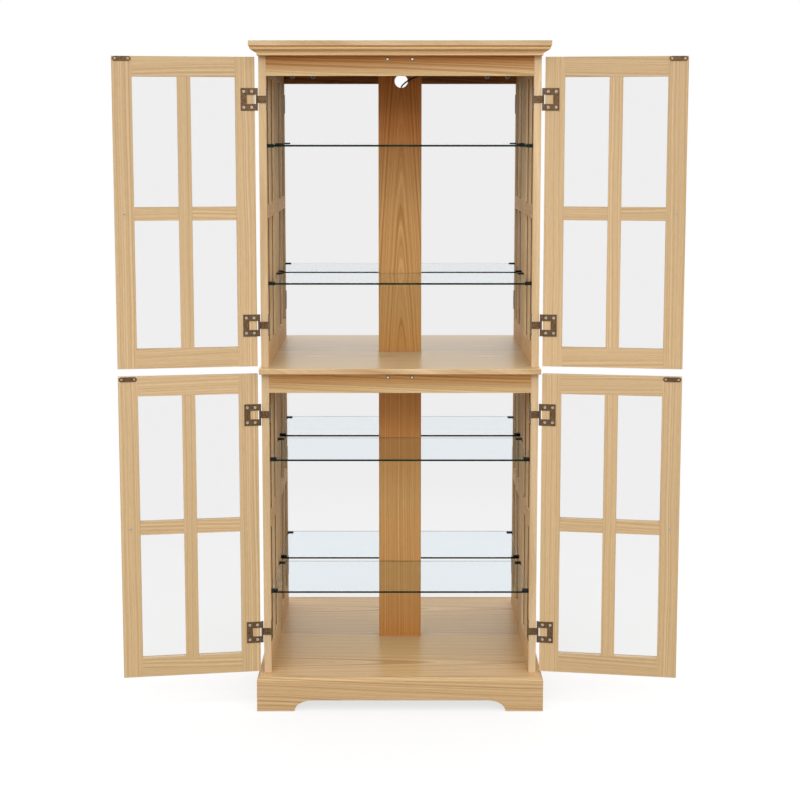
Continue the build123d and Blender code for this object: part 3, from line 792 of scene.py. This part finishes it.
@dataclass(frozen=True)
class GlassFinish:
    """Float glass: clear, with a little of the light lost in it.

    Attributes:
        name: Name of the material.
        tint: Colour of what shows through it.
        lamp_tint: Colour of the light that it lets through.
        edge_on_painted_reflection: Painted reflection, a lit brown that it shows seen along its
            face in place of the
        dark frame and room that real panes mirror there, or nothing.
        edge_range: How far it is turned away where that colour starts and where it is full, and
            the colour's shares there.
        ior: Its index of refraction.
    """

    name: str
    tint: str
    lamp_tint: str
    edge_on_painted_reflection: str = ""
    edge_range: tuple[float, float, float, float] = (0.8, 0.9, 0.0, 0.9)
    ior: float = 1.5

    def material(self) -> bpy.types.Material:
        """Makes clear glass that lets lamps and soft light through unbent, with the painted
        reflection seen along its face where it has one.

        Returns:
            The material.
        """
        material = bpy.data.materials.new(self.name)
        add = empty_tree(material)
        clear = {
            "Base Color": linear(self.tint),
            "Roughness": 0.0,
            "IOR": self.ior,
            "Transmission Weight": 1.0,
        }
        glass = add("ShaderNodeBsdfPrincipled", clear)
        # Painted reflection: a brown diffuse surface mixed in where the pane is seen along its
        # face
        if self.edge_on_painted_reflection:
            facing = add("ShaderNodeLayerWeight", {"Blend": 0.5}).outputs["Facing"]
            share = add("ShaderNodeMapRange", (facing, *self.edge_range))
            painted_reflection_diffuse = add("ShaderNodeBsdfDiffuse", (linear(self.edge_on_painted_reflection),))
            glass = add("ShaderNodeMixShader", (share, glass, painted_reflection_diffuse))
        through = add("ShaderNodeBsdfTransparent", (linear(self.lamp_tint),))
        ray = add("ShaderNodeLightPath").outputs
        lamp = (ray["Is Shadow Ray"], ray["Is Diffuse Ray"])
        lamp = add("ShaderNodeMath", lamp, operation="MAXIMUM")
        mixed = add("ShaderNodeMixShader", (lamp, glass, through))
        add("ShaderNodeOutputMaterial", (mixed,))
        return material


@dataclass(frozen=True)
class EdgeFinish:
    """Ground and polished edge of plate glass: almost black green, as light is lost along it."""

    name: str = "glass_edge_green"
    light: str = "#08281E"
    dark: str = "#03120D"
    stops: tuple[float, float] = (0.35, 0.65)
    ripple: float = 16.667 * MM
    roughness: float = 0.2
    gloss: float = 0.1

    def material(self) -> bpy.types.Material:
        """Makes dark glossy green with soft ripples.

        Returns:
            The material.
        """
        material = bpy.data.materials.new(self.name)
        add = empty_tree(material)
        place = add("ShaderNodeTexCoord").outputs["Object"]
        ripples = {"Vector": place, "Scale": 1 / self.ripple, "Detail": 2.0}
        ripples = add("ShaderNodeTexNoise", ripples)
        stops = tuple(zip(self.stops, (self.dark, self.light)))
        shader = {
            "Base Color": add("ShaderNodeValToRGB", (ripples,), stops=stops),
            "Roughness": self.roughness,
            "Specular IOR Level": self.gloss,
        }
        add("ShaderNodeOutputMaterial", (add("ShaderNodeBsdfPrincipled", shader),))
        return material


@dataclass(frozen=True)
class MirrorFinish:
    """Silvered float glass: it gives back about five sixths of the light."""

    name: str = "silvered_mirror"
    colour: str = "#EEEEEE"

    def material(self) -> bpy.types.Material:
        """Makes smooth metal of the mirror's reflectance.

        Returns:
            The material.
        """
        material = bpy.data.materials.new(self.name)
        add = empty_tree(material)
        silver = {"Base Color": linear(self.colour), "Metallic": 1.0, "Roughness": 0.0}
        add("ShaderNodeOutputMaterial", (add("ShaderNodeBsdfPrincipled", silver),))
        return material


@dataclass
class GlassWork:
    """Panes, mirrors and shelves.

    Attributes:
        frame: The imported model.
        pane: Finish of the panes.
        plate: Finish of the shelves' faces.
        edge: Finish of the shelves' edges.
        mirror: Finish of the mirrors.
        arris: Width of the rounding along a shelf's edges.
        edge_slope: Upward share of a face's normal below which the face counts as edge.
    """

    frame: Frame
    # The last colour is the panes' painted reflection, seen along their faces
    pane: GlassFinish = GlassFinish("pane_glass_clear", "#EEEEEE", "#EEEEEE", "#64401F")
    plate: GlassFinish = GlassFinish("shelf_glass_clear", "#F1FAFF", "#EDF6FA")
    edge: EdgeFinish = EdgeFinish()
    mirror: MirrorFinish = MirrorFinish()
    arris: float = 0.5 * MM
    edge_slope: float = 0.5

    def build(self) -> None:
        """Dresses the panes and mirrors and builds the shelves."""
        pane, mirror = self.pane.material(), self.mirror.material()
        plate, edge = self.plate.material(), self.edge.material()
        for node, slot in self.frame.slots.items():
            if slot == "pane_glass":
                self._dress(node, pane)
            elif slot == "mirror":
                self._dress(node, mirror)
            elif slot == "shelf_glass":
                self._shelf(node, plate, edge)

    def _dress(self, node: str, material: bpy.types.Material) -> None:
        """Gives a CAD node its material in all its slots.

        Args:
            node: The node.
            material: Its material.
        """
        mesh = self.frame.nodes[node].data
        for slot in range(len(mesh.materials)):
            mesh.materials[slot] = material
        LOG.info("%s keeps its shape, in %s", node, material.name)

    def _shelf(self, node: str, plate: bpy.types.Material, edge: bpy.types.Material) -> None:
        """Plate glass shelf with polished edges.

        Args:
            node: The shelf's node.
            plate: Material of the faces.
            edge: Material of the edges.
        """
        low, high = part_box(node)
        deselect_all()
        bpy.ops.mesh.primitive_cube_add(size=1.0, location=(low + high) / 2, scale=high - low)
        shelf = bpy.context.active_object
        shelf.name = f"{node}_plate"
        settle(shelf)
        ease_arrises(shelf, self.arris, self.arris)
        shelf.data.materials.append(plate)
        shelf.data.materials.append(edge)
        for face in shelf.data.polygons:
            if abs(face.normal.z) < self.edge_slope:
                face.material_index = 1
        smooth(shelf)
        self.frame.seat(shelf, node)


# Metal and plastic


@dataclass(frozen=True)
class MetalFinish:
    """Plated steel, mottled and a little worn.

    Attributes:
        name: Name of the material.
        light: Colour of its brightest places.
        dark: Colour of its darkest places.
        roughness: Its middle roughness.
        mottle: Size of the mottles, in metres.
        stops: Values of the mottling that are darkest and brightest.
        worn: Values of the mottling between which it is less rough.
        rough_spread: Shares of the roughness that it has there.
        metallic: How much of a metal it is.
    """

    name: str
    light: str
    dark: str
    roughness: float
    mottle: float = 4.0 * MM
    stops: tuple[float, float] = (0.38, 0.62)
    worn: tuple[float, float] = (0.3, 0.7)
    rough_spread: tuple[float, float] = (1.25, 0.8)
    metallic: float = 0.9

    def material(self) -> bpy.types.Material:
        """Makes mottled metal that is rougher where it is darker.

        Returns:
            The material.
        """
        material = bpy.data.materials.new(self.name)
        add = empty_tree(material)
        place = add("ShaderNodeTexCoord").outputs["Object"]
        mottles = {"Vector": place, "Scale": 1 / self.mottle, "Detail": 5.0, "Roughness": 0.65}
        mottles = add("ShaderNodeTexNoise", mottles)
        stops = tuple(zip(self.stops, (self.dark, self.light)))
        rough = [self.roughness * share for share in self.rough_spread]
        shader = {
            "Base Color": add("ShaderNodeValToRGB", (mottles,), stops=stops),
            "Metallic": self.metallic,
            "Roughness": add("ShaderNodeMapRange", (mottles, *self.worn, *rough)),
        }
        add("ShaderNodeOutputMaterial", (add("ShaderNodeBsdfPrincipled", shader),))
        return material


@dataclass(frozen=True)
class PlasticFinish:
    """Moulded plastic or rubber with a fine skin texture."""

    name: str
    colour: str
    roughness: float
    skin: float = 1.1111 * MM
    skin_relief: float = 0.2
    skin_depth: float = 0.05 * MM
    gloss: float = 0.3

    def material(self) -> bpy.types.Material:
        """Makes plain plastic whose skin scatters a little.

        Returns:
            The material.
        """
        material = bpy.data.materials.new(self.name)
        add = empty_tree(material)
        place = add("ShaderNodeTexCoord").outputs["Object"]
        skin = {"Vector": place, "Scale": 1 / self.skin, "Detail": 2.0}
        skin = add("ShaderNodeTexNoise", skin)
        relief = {"Height": skin, "Strength": self.skin_relief, "Distance": self.skin_depth}
        shader = {
            "Base Color": linear(self.colour),
            "Roughness": self.roughness,
            "Normal": add("ShaderNodeBump", relief),
            "Specular IOR Level": self.gloss,
        }
        add("ShaderNodeOutputMaterial", (add("ShaderNodeBsdfPrincipled", shader),))
        return material


@dataclass(frozen=True)
class DiffuserFinish:
    """Milky plastic strip over the lamps of a light bar: light sinks a few millimetres in."""

    name: str = "diffuser_milky"
    colour: str = "#F2F2EE"
    haze: float = 7.1429 * MM
    smoothest: float = 0.3
    roughest: float = 0.45
    milk: float = 0.3
    milk_depth: float = 4.0 * MM

    def material(self) -> bpy.types.Material:
        """Makes pale plastic that lets a little light in.

        Returns:
            The material.
        """
        material = bpy.data.materials.new(self.name)
        add = empty_tree(material)
        place = add("ShaderNodeTexCoord").outputs["Object"]
        haze = {"Vector": place, "Scale": 1 / self.haze, "Detail": 2.0}
        haze = add("ShaderNodeTexNoise", haze)
        rough = (haze, 0.0, 1.0, self.smoothest, self.roughest)
        shader = {
            "Base Color": linear(self.colour),
            "Roughness": add("ShaderNodeMapRange", rough),
            "Subsurface Weight": self.milk,
            "Subsurface Radius": (self.milk_depth,) * 3,
        }
        add("ShaderNodeOutputMaterial", (add("ShaderNodeBsdfPrincipled", shader),))
        return material


@dataclass(frozen=True)
class BoardFinish:
    """Raw hardboard: brown, with fine pressed fibres."""

    name: str = "hardboard_brown"
    light: str = "#9C7B57"
    dark: str = "#7E6044"
    stops: tuple[float, float] = (0.42, 0.92)
    cloud: float = 38.4615 * MM
    cloud_share: float = 0.35
    fibre: float = 2.381 * MM
    fibre_relief: float = 0.4
    fibre_height: float = 0.15 * MM
    roughness: float = 0.72

    def material(self) -> bpy.types.Material:
        """Makes matt brown board with fibres.

        Returns:
            The material.
        """
        material = bpy.data.materials.new(self.name)
        add = empty_tree(material)
        place = add("ShaderNodeTexCoord").outputs["Object"]
        clouds = {"Vector": place, "Scale": 1 / self.cloud, "Detail": 5.0}
        clouds = add("ShaderNodeTexNoise", clouds)
        fibres = {"Vector": place, "Scale": 1 / self.fibre, "Detail": 4.0}
        fibres = add("ShaderNodeTexNoise", fibres)
        blend = (clouds, self.cloud_share, fibres)
        blend = add("ShaderNodeMath", blend, operation="MULTIPLY_ADD")
        stops = tuple(zip(self.stops, (self.dark, self.light)))
        relief = {"Height": fibres, "Strength": self.fibre_relief, "Distance": self.fibre_height}
        shader = {
            "Base Color": add("ShaderNodeValToRGB", (blend,), stops=stops),
            "Roughness": self.roughness,
            "Normal": add("ShaderNodeBump", relief),
        }
        add("ShaderNodeOutputMaterial", (add("ShaderNodeBsdfPrincipled", shader),))
        return material


@dataclass(frozen=True)
class Head:
    """Round head of a screw or lock, seen from outside."""

    centre: Vector
    outward: Vector
    radius: float


@dataclass(frozen=True)
class CrossRecess:
    """Cross recess of a screw head, in shares of the head's radius.

    Attributes:
        reach: How far an arm reaches from the middle.
        half_arm: Half the width of an arm.
        depth: How deep it goes.
        taper: Size of its bottom, as a share of its top.
        proud: How far the cutter stands out of the head.
    """

    reach: float = 0.62
    half_arm: float = 0.15
    depth: float = 0.42
    taper: float = 0.4
    proud: float = 0.12

    def outline(self) -> list[tuple[float, float]]:
        """Goes once round the cross.

        Returns:
            Its corners.
        """
        reach, arm = self.reach, self.half_arm
        quarter = [(reach, -arm), (reach, arm), (arm, arm)]
        corners = []
        for cosine, sine in ((1, 0), (0, 1), (-1, 0), (0, -1)):
            corners += [(x * cosine - y * sine, x * sine + y * cosine) for x, y in quarter]
        return corners

    def cut(
        self, piece: bpy.types.Object, heads: Iterable[Head], shade: bpy.types.Material
    ) -> None:
        """Sinks a cross into each head of a piece, each turned its own way.

        Args:
            piece: The piece, which already has its own material.
            heads: Its heads.
            shade: Material of the cross's walls, darker steel that is painted shade in the
                recess.
        """
        mesh = bmesh.new()
        chance = random.Random(piece.name)
        for head in heads:
            basis = head.outward.to_track_quat("Z", "Y").to_matrix()
            basis = basis @ Matrix.Rotation(chance.uniform(0, math.pi), 3, "Z")
            rings = []
            for level, share in ((self.proud, 1.0), (-self.depth, self.taper)):
                rings.append(
                    [
                        mesh.verts.new(
                            head.centre
                            + basis @ Vector((x * share, y * share, level)) * head.radius
                        )
                        for x, y in self.outline()
                    ]
                )
            top, bottom = rings
            mesh.faces.new(top)
            mesh.faces.new(bottom[::-1])
            for number, corner in enumerate(top):
                mesh.faces.new((corner, top[number - 1], bottom[number - 1], bottom[number]))
        bmesh.ops.recalc_face_normals(mesh, faces=mesh.faces)
        data = bpy.data.meshes.new("cross_cutter")
        mesh.to_mesh(data)
        mesh.free()
        data.materials.append(shade)
        cutter = bpy.data.objects.new("cross_cutter", data)
        bpy.context.scene.collection.objects.link(cutter)
        apply_modifier(
            piece,
            "BOOLEAN",
            operation="DIFFERENCE",
            solver="EXACT",
            object=cutter,
            material_mode="TRANSFER",
        )
        bpy.data.objects.remove(cutter)
        bpy.data.meshes.remove(data)


@dataclass
class Hardware:
    """Hinges, screws, plates, knobs, magnets, locks, clips, light bar, plug and back board.

    A finish is named for the piece that has it. Fine arrises are rounded along the edges that
    are longer than the fine edge.
    """

    frame: Frame
    bronze: MetalFinish = MetalFinish("bronze_antique", "#795F42", "#4B392A", 0.45, 3.2 * MM)
    steel: MetalFinish = MetalFinish("screw_nickel", "#D8D2C4", "#A8A092", 0.3, 1.6 * MM)
    magnet: MetalFinish = MetalFinish("magnet_nickel", "#E0DCD4", "#C4C0B8", 0.3, 1.2 * MM)
    # Painted shade: darker steel for the walls of the cross recesses
    shade: MetalFinish = MetalFinish("recess_steel_dark", "#6A655A", "#3C3932", 0.5, 1.0 * MM)
    zinc: MetalFinish = MetalFinish("cam_lock_zinc", "#B9B9B6", "#8E8E8C", 0.38, 1.5 * MM)
    housing: MetalFinish = MetalFinish("light_housing_silver", "#D2D3D4", "#BCBDBF", 0.35)
    brass: MetalFinish = MetalFinish("plug_blade_brass", "#C9AE72", "#A88D55", 0.3)
    sleeve: PlasticFinish = PlasticFinish("magnet_sleeve_grey", "#5A4E42", 0.45)
    clip: PlasticFinish = PlasticFinish("clip_plastic_black", "#141414", 0.4)
    rubber: PlasticFinish = PlasticFinish("plug_rubber_black", "#121212", 0.5)
    diffuser: DiffuserFinish = DiffuserFinish()
    board: BoardFinish = BoardFinish()
    recess: CrossRecess = CrossRecess()
    fine_arris: float = 0.3 * MM
    fine_edge: float = 2.0 * MM

    def build(self) -> bpy.types.Object:
        """Builds every piece that is neither wood nor glass, but for the cord.

        Returns:
            The finished plug, for the cord.
        """
        bronze, steel = self.bronze.material(), self.steel.material()
        recess_shade = self.shade.material()
        for node, slot in self.frame.slots.items():
            if slot == "bronze":
                self._copy(node, bronze)
            elif slot == "screw_steel" and node != "cam_locks":
                self._screws(node, steel, recess_shade)
        self._screws("cam_locks", self.zinc.material(), recess_shade)
        self._copy("shelf_clips", self.clip.material())
        self._copy("back_panels", self.board.material())
        self._by_size("door_magnets", self.magnet, self.sleeve)
        self._by_size("light_bar", self.diffuser, self.housing)
        return self._by_size("plug", self.brass, self.rubber)

    def _copy(self, node: str, *materials: bpy.types.Material) -> bpy.types.Object:
        """Copy of a node with fine arrises.

        Args:
            node: The node.
            materials: Materials of the copy.

        Returns:
            The copy, seated.
        """
        piece = self.frame.solid_copy(node, f"{node}_finished")
        ease_arrises(piece, self.fine_arris, self.fine_edge)
        smooth(piece)
        for material in materials:
            piece.data.materials.append(material)
        self.frame.seat(piece, node)
        return piece

    def _screws(
        self, node: str, material: bpy.types.Material, recess_shade: bpy.types.Material
    ) -> None:
        """Screws or locks with a cross sunk into each head.

        Args:
            node: Their node.
            material: Their material.
            recess_shade: Material of the crosses' walls, painted shade.
        """
        piece = self.frame.solid_copy(node, f"{node}_finished")
        piece.data.materials.append(material)
        self.recess.cut(piece, self._heads(piece, node), recess_shade)
        smooth(piece)
        self.frame.seat(piece, node)

    def _heads(self, piece: bpy.types.Object, node: str) -> list[Head]:
        """Heads of the screws or locks in a piece.

        Args:
            piece: The piece.
            node: The node that it stands for.

        Returns:
            One head for each loose part.
        """
        unturn = Matrix.Rotation(self.frame.swing(node), 3, "Z")
        heads = []
        for part in islands(piece.data):
            low, high = box_of(unturn @ piece.data.vertices[number].co for number in part)
            centre = (low + high) / 2
            outward = Vector((0, 1, 0))
            if node == "hinge_cabinet_screws":
                outward = Vector((-math.copysign(1, centre.x), 0, 0))
            reach = Vector([abs(share) for share in outward]).dot(high - low) / 2
            turn = unturn.transposed()
            place = turn @ (centre + outward * reach)
            heads.append(Head(place, turn @ outward, (high.z - low.z) / 2))
        return heads

    def _by_size(self, node: str, small: Any, large: Any) -> bpy.types.Object:
        """Copy of a node whose smaller solids have a finish of their own.

        Args:
            node: The node.
            small: Finish of the solids that are under half the largest one.
            large: Finish of the others.

        Returns:
            The copy, seated.
        """
        piece = self._copy(node, large.material(), small.material())
        mesh = piece.data
        parts = islands(mesh)
        sizes = []
        for part in parts:
            low, high = box_of(mesh.vertices[number].co for number in part)
            extent = high - low
            sizes.append(extent.x * extent.y * extent.z)
        minor = {
            number
            for part, size in zip(parts, sizes)
            if size < max(sizes) / 2
            for number in part
        }
        for face in mesh.polygons:
            face.material_index = int(face.vertices[0] in minor)
        return piece


# Cord


@dataclass
class LightCord:
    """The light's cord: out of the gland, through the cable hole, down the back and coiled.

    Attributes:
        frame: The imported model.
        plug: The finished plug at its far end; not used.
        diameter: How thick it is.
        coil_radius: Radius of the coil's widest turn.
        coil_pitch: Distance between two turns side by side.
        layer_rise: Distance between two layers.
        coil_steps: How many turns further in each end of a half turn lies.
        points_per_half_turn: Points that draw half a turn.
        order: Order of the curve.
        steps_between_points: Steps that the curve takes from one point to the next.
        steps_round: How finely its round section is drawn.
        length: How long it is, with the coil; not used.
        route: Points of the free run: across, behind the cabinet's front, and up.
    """

    frame: Frame
    plug: bpy.types.Object
    diameter: float = 4.5 * MM
    coil_radius: float = 28.0 * MM
    coil_pitch: float = 5.1 * MM
    layer_rise: float = 5.1 * MM
    coil_steps: tuple[int, ...] = (0, 1, 2, 3, 4, 2, 1, 0)
    points_per_half_turn: int = 8
    order: int = 3
    steps_between_points: int = 6
    steps_round: int = 4
    length: float = 2.66
    route: tuple[tuple[float, float, float], ...] = (
        (0.0700, 0.0590, 1.8115), (0.0700, 0.0820, 1.8115), (0.0720, 0.1080, 1.8040),
        (0.0745, 0.1360, 1.7900), (0.0760, 0.1650, 1.7755), (0.0750, 0.1950, 1.7630),
        (0.0710, 0.2250, 1.7545), (0.0630, 0.2520, 1.7505), (0.0510, 0.2740, 1.7480),
        (0.0380, 0.2900, 1.7445), (0.0250, 0.3015, 1.7385), (0.0140, 0.3120, 1.7310),
        (0.0070, 0.3260, 1.7250), (0.0040, 0.3420, 1.7210), (0.0025, 0.3560, 1.7115),
        (0.0010, 0.3645, 1.6960), (-0.0010, 0.3680, 1.6720), (-0.0045, 0.3690, 1.6340),
        (-0.0100, 0.3685, 1.5800), (-0.0165, 0.3680, 1.5210), (-0.0235, 0.3670, 1.4610),
        (-0.0295, 0.3665, 1.4000), (-0.0345, 0.3660, 1.3380), (-0.0385, 0.3650, 1.2760),
        (-0.0415, 0.3645, 1.2130), (-0.0435, 0.3640, 1.1500), (-0.0445, 0.3635, 1.0880),
        (-0.0448, 0.3635, 1.0250), (-0.0442, 0.3630, 0.9630), (-0.0428, 0.3630, 0.9000),
        (-0.0406, 0.3635, 0.8380), (-0.0378, 0.3635, 0.7760), (-0.0344, 0.3640, 0.7130),
        (-0.0305, 0.3645, 0.6510), (-0.0262, 0.3645, 0.5900), (-0.0214, 0.3650, 0.5280),
        (-0.0160, 0.3650, 0.4660), (-0.0100, 0.3650, 0.4050), (-0.0035, 0.3645, 0.3440),
        (0.0035, 0.3645, 0.2840), (0.0110, 0.3640, 0.2250), (0.0190, 0.3635, 0.1680),
        (0.0275, 0.3635, 0.1160), (0.0360, 0.3630, 0.0740), (0.0460, 0.3630, 0.0410),
        (0.0600, 0.3630, 0.0180), (0.0800, 0.3630, 0.0060), (0.1030, 0.3630, 0.0026),
        (0.1270, 0.3630, 0.00225), (0.1500, 0.3630, 0.00225),
    )

    def build(self) -> None:
        jacket = PlasticFinish("cord_jacket_black", "#0A0A0A", 0.5).material()
        points = self._route() + self._coil()
        curve = bpy.data.curves.new("light_cord", "CURVE")
        curve.dimensions = "3D"
        spline = curve.splines.new("NURBS")
        spline.points.add(len(points) - 1)
        for knot, point in zip(spline.points, points):
            knot.co = (*point, 1.0)
        spline.order_u = self.order
        spline.use_endpoint_u = True
        spline.resolution_u = self.steps_between_points
        curve.bevel_depth = self.diameter / 2
        curve.bevel_resolution = self.steps_round
        curve.use_fill_caps = True
        curve.materials.append(jacket)
        cord = bpy.data.objects.new("light_cord", curve)
        bpy.context.scene.collection.objects.link(cord)
        self.frame.seat(cord, "cord_run", "cord_coil")

    def _route(self) -> list[Vector]:
        """The free run's points, in the shared frame."""
        return [Vector((x, self.frame.front + depth, z)) for x, depth, z in self.route]

    def _coil(self) -> list[Vector]:
        """Half turns that spiral in, climb a layer and spiral out again.

        Returns:
            The coil's points after the run's last point, and one at the plug.
        """
        start = self._route()[-1]
        first = start + Vector((self.diameter, 0, 0))
        centre_y = first.y + self.coil_radius
        middle_layer = len(self.coil_steps) // 2
        ends = []
        for count, step in enumerate(self.coil_steps):
            side = -1 if count % 2 == 0 else 1
            radius = self.coil_radius - step * self.coil_pitch / 2
            level = first.z + (self.layer_rise if count >= middle_layer else 0)
            ends.append(Vector((first.x, centre_y + side * radius, level)))
        points = []
        # A quadratic curve runs inside its points, so they stand a little outside the turns
        outside = 1 / math.cos(math.pi / 2 / self.points_per_half_turn)
        for count, (near, far) in enumerate(zip(ends, ends[1:])):
            middle = (near + far) / 2
            reach = (far - near).length / 2 * outside
            outward = 1 if count % 2 == 0 else -1
            spoke = (near - middle).normalized()
            for number in range(self.points_per_half_turn):
                share = (number + 0.5) / self.points_per_half_turn
                turn = math.pi * share
                point = middle + spoke * math.cos(turn) * reach
                point.x += outward * math.sin(turn) * reach
                point.z = near.z + (far.z - near.z) * share
                points.append(point)
        points.append(ends[-1] - Vector((self.diameter, 0, 0)))
        return points


# Studio


@dataclass(frozen=True)
class Softbox:
    """Large soft lamp: where it hangs and its size, in metres, and its power, in watts."""

    name: str
    place: tuple[float, float, float]
    size: tuple[float, float]
    power: float


@dataclass
class Studio:
    """Pale floor, white surround, soft lamps and the camera.

    Attributes:
        frame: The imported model.
        eye_height: Height of the photograph's eye.
        eye_distance: Its distance from the cabinet's front.
        pitch: How far the camera looks down, in degrees.
        lens: Its lens, in millimetres, on a sensor of the width below.
        sensor: Width of the sensor, in millimetres.
        shift: Its shift, in widths of the picture.
        floor_size: Side of the floor.
        pale: The floor's colour.
        bounce: The dull colour that it gives to soft light.
        glow_range: Distances from the middle between which the floor turns white, and how much
            of the white it has there.
        surround: Strength of the white world.
        aim: Where the lamps point.
        lamps: The lamps.
    """

    frame: Frame
    eye_height: float = 1.582
    eye_distance: float = 4.114
    pitch: float = 6.6
    lens: float = 68.75
    sensor: float = 36.0
    shift: float = -0.11
    floor_size: float = 60.0
    pale: str = "#F4F4F4"
    bounce: str = "#8A7A66"
    glow_range: tuple[float, float, float, float] = (0.6, 2.4, 0.72, 1.0)
    surround: float = 1.0
    aim: tuple[float, float, float] = (0.0, 0.0, 0.9)
    lamps: tuple[Softbox, ...] = (
        Softbox("softbox_front", (0.0, -6.6, 4.5), (7.0, 2.6), 164.0),
        Softbox("softbox_top", (0.0, -3.8, 7.4), (7.0, 2.6), 98.0),
        Softbox("softbox_back", (0.8, 5.6, 5.0), (6.0, 4.0), 150.0),
        Softbox("softbox_left", (-6.0, -4.6, 2.2), (3.0, 3.0), 62.0),
        Softbox("softbox_right", (6.0, -4.6, 2.2), (3.0, 3.0), 62.0),
    )

    def build(self) -> None:
        """Sets up the whole studio."""
        self._camera()
        self._floor()
        self._world()
        for box in self.lamps:
            self._lamp(box)
        bpy.context.scene.view_settings.view_transform = "Standard"

    def _camera(self) -> None:
        """Camera at the photograph's eye, aimed down a little, with a little shift."""
        data = bpy.data.cameras.new("camera")
        data.sensor_width = self.sensor
        data.lens = self.lens
        data.shift_y = self.shift
        camera = bpy.data.objects.new("camera", data)
        camera.location = (0.0, self.frame.front - self.eye_distance, self.eye_height)
        camera.rotation_euler = (math.radians(90 - self.pitch), 0.0, 0.0)
        bpy.context.scene.collection.objects.link(camera)
        bpy.context.scene.camera = camera

    def _floor(self) -> None:
        """Large pale floor that keeps a soft shadow near the object and fades to white.

        The white is only for what the eye sees straight, in a reflection or through glass. Soft
        light that falls from the floor on the object has the bounce colour.
        """
        deselect_all()
        bpy.ops.mesh.primitive_plane_add(size=self.floor_size, location=(0, 0, 0))
        floor = bpy.context.active_object
        floor.name = "studio_floor"
        material = bpy.data.materials.new("studio_floor_pale")
        add = empty_tree(material)
        ray = add("ShaderNodeLightPath").outputs
        pale = add("ShaderNodeBsdfDiffuse", (linear(self.pale),))
        dull = add("ShaderNodeBsdfDiffuse", (linear(self.bounce),))
        matt = add("ShaderNodeMixShader", (ray["Is Diffuse Ray"], pale, dull))
        place = add("ShaderNodeTexCoord").outputs["Object"]
        away = add("ShaderNodeVectorMath", (place,), operation="LENGTH").outputs["Value"]
        glow = (away, *self.glow_range)
        glow = add("ShaderNodeMapRange", glow, interpolation_type="SMOOTHSTEP")
        shiny = (ray["Is Glossy Ray"], ray["Is Transmission Ray"])
        shiny = add("ShaderNodeMath", shiny, operation="MAXIMUM")
        seen = add("ShaderNodeMath", (ray["Is Camera Ray"], shiny), operation="MAXIMUM")
        straight = add("ShaderNodeMath", (ray["Diffuse Depth"], 0.5), operation="LESS_THAN")
        seen = add("ShaderNodeMath", (seen, straight), operation="MULTIPLY")
        seen = add("ShaderNodeMath", (seen, glow), operation="MULTIPLY")
        white = add("ShaderNodeEmission", {"Strength": 1.0})
        mixed = add("ShaderNodeMixShader", (seen, matt, white))
        add("ShaderNodeOutputMaterial", (mixed,))
        floor.data.materials.append(material)

    def _world(self) -> None:
        """Plain white surround."""
        world = bpy.data.worlds.new("studio_surround")
        bpy.context.scene.world = world
        add = empty_tree(world)
        white = add("ShaderNodeBackground", ((1, 1, 1, 1), self.surround))
        add("ShaderNodeOutputWorld", (white,))

    def _lamp(self, box: Softbox) -> None:
        """Hangs a lamp that points at the middle of the cabinet.

        Args:
            box: The lamp.
        """
        data = bpy.data.lights.new(box.name, "AREA")
        data.shape = "RECTANGLE"
        data.size, data.size_y = box.size
        data.energy = box.power
        lamp = bpy.data.objects.new(box.name, data)
        lamp.location = box.place
        aim = Vector(self.aim) - Vector(box.place)
        lamp.rotation_euler = aim.to_track_quat("-Z", "Y").to_euler()
        lamp.visible_camera = False
        lamp.visible_transmission = False
        bpy.context.scene.collection.objects.link(lamp)


def main() -> None:
    """Builds the cabinet's looks in order."""
    logging.basicConfig(level=logging.INFO, format="%(name)s: %(message)s")
    frame = Frame.load()
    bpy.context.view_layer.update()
    Studio(frame).build()
    OakWork(frame).build()
    GlassWork(frame).build()
    plug = Hardware(frame).build()
    LightCord(frame, plug).build()


if __name__ == "__main__":
    main()
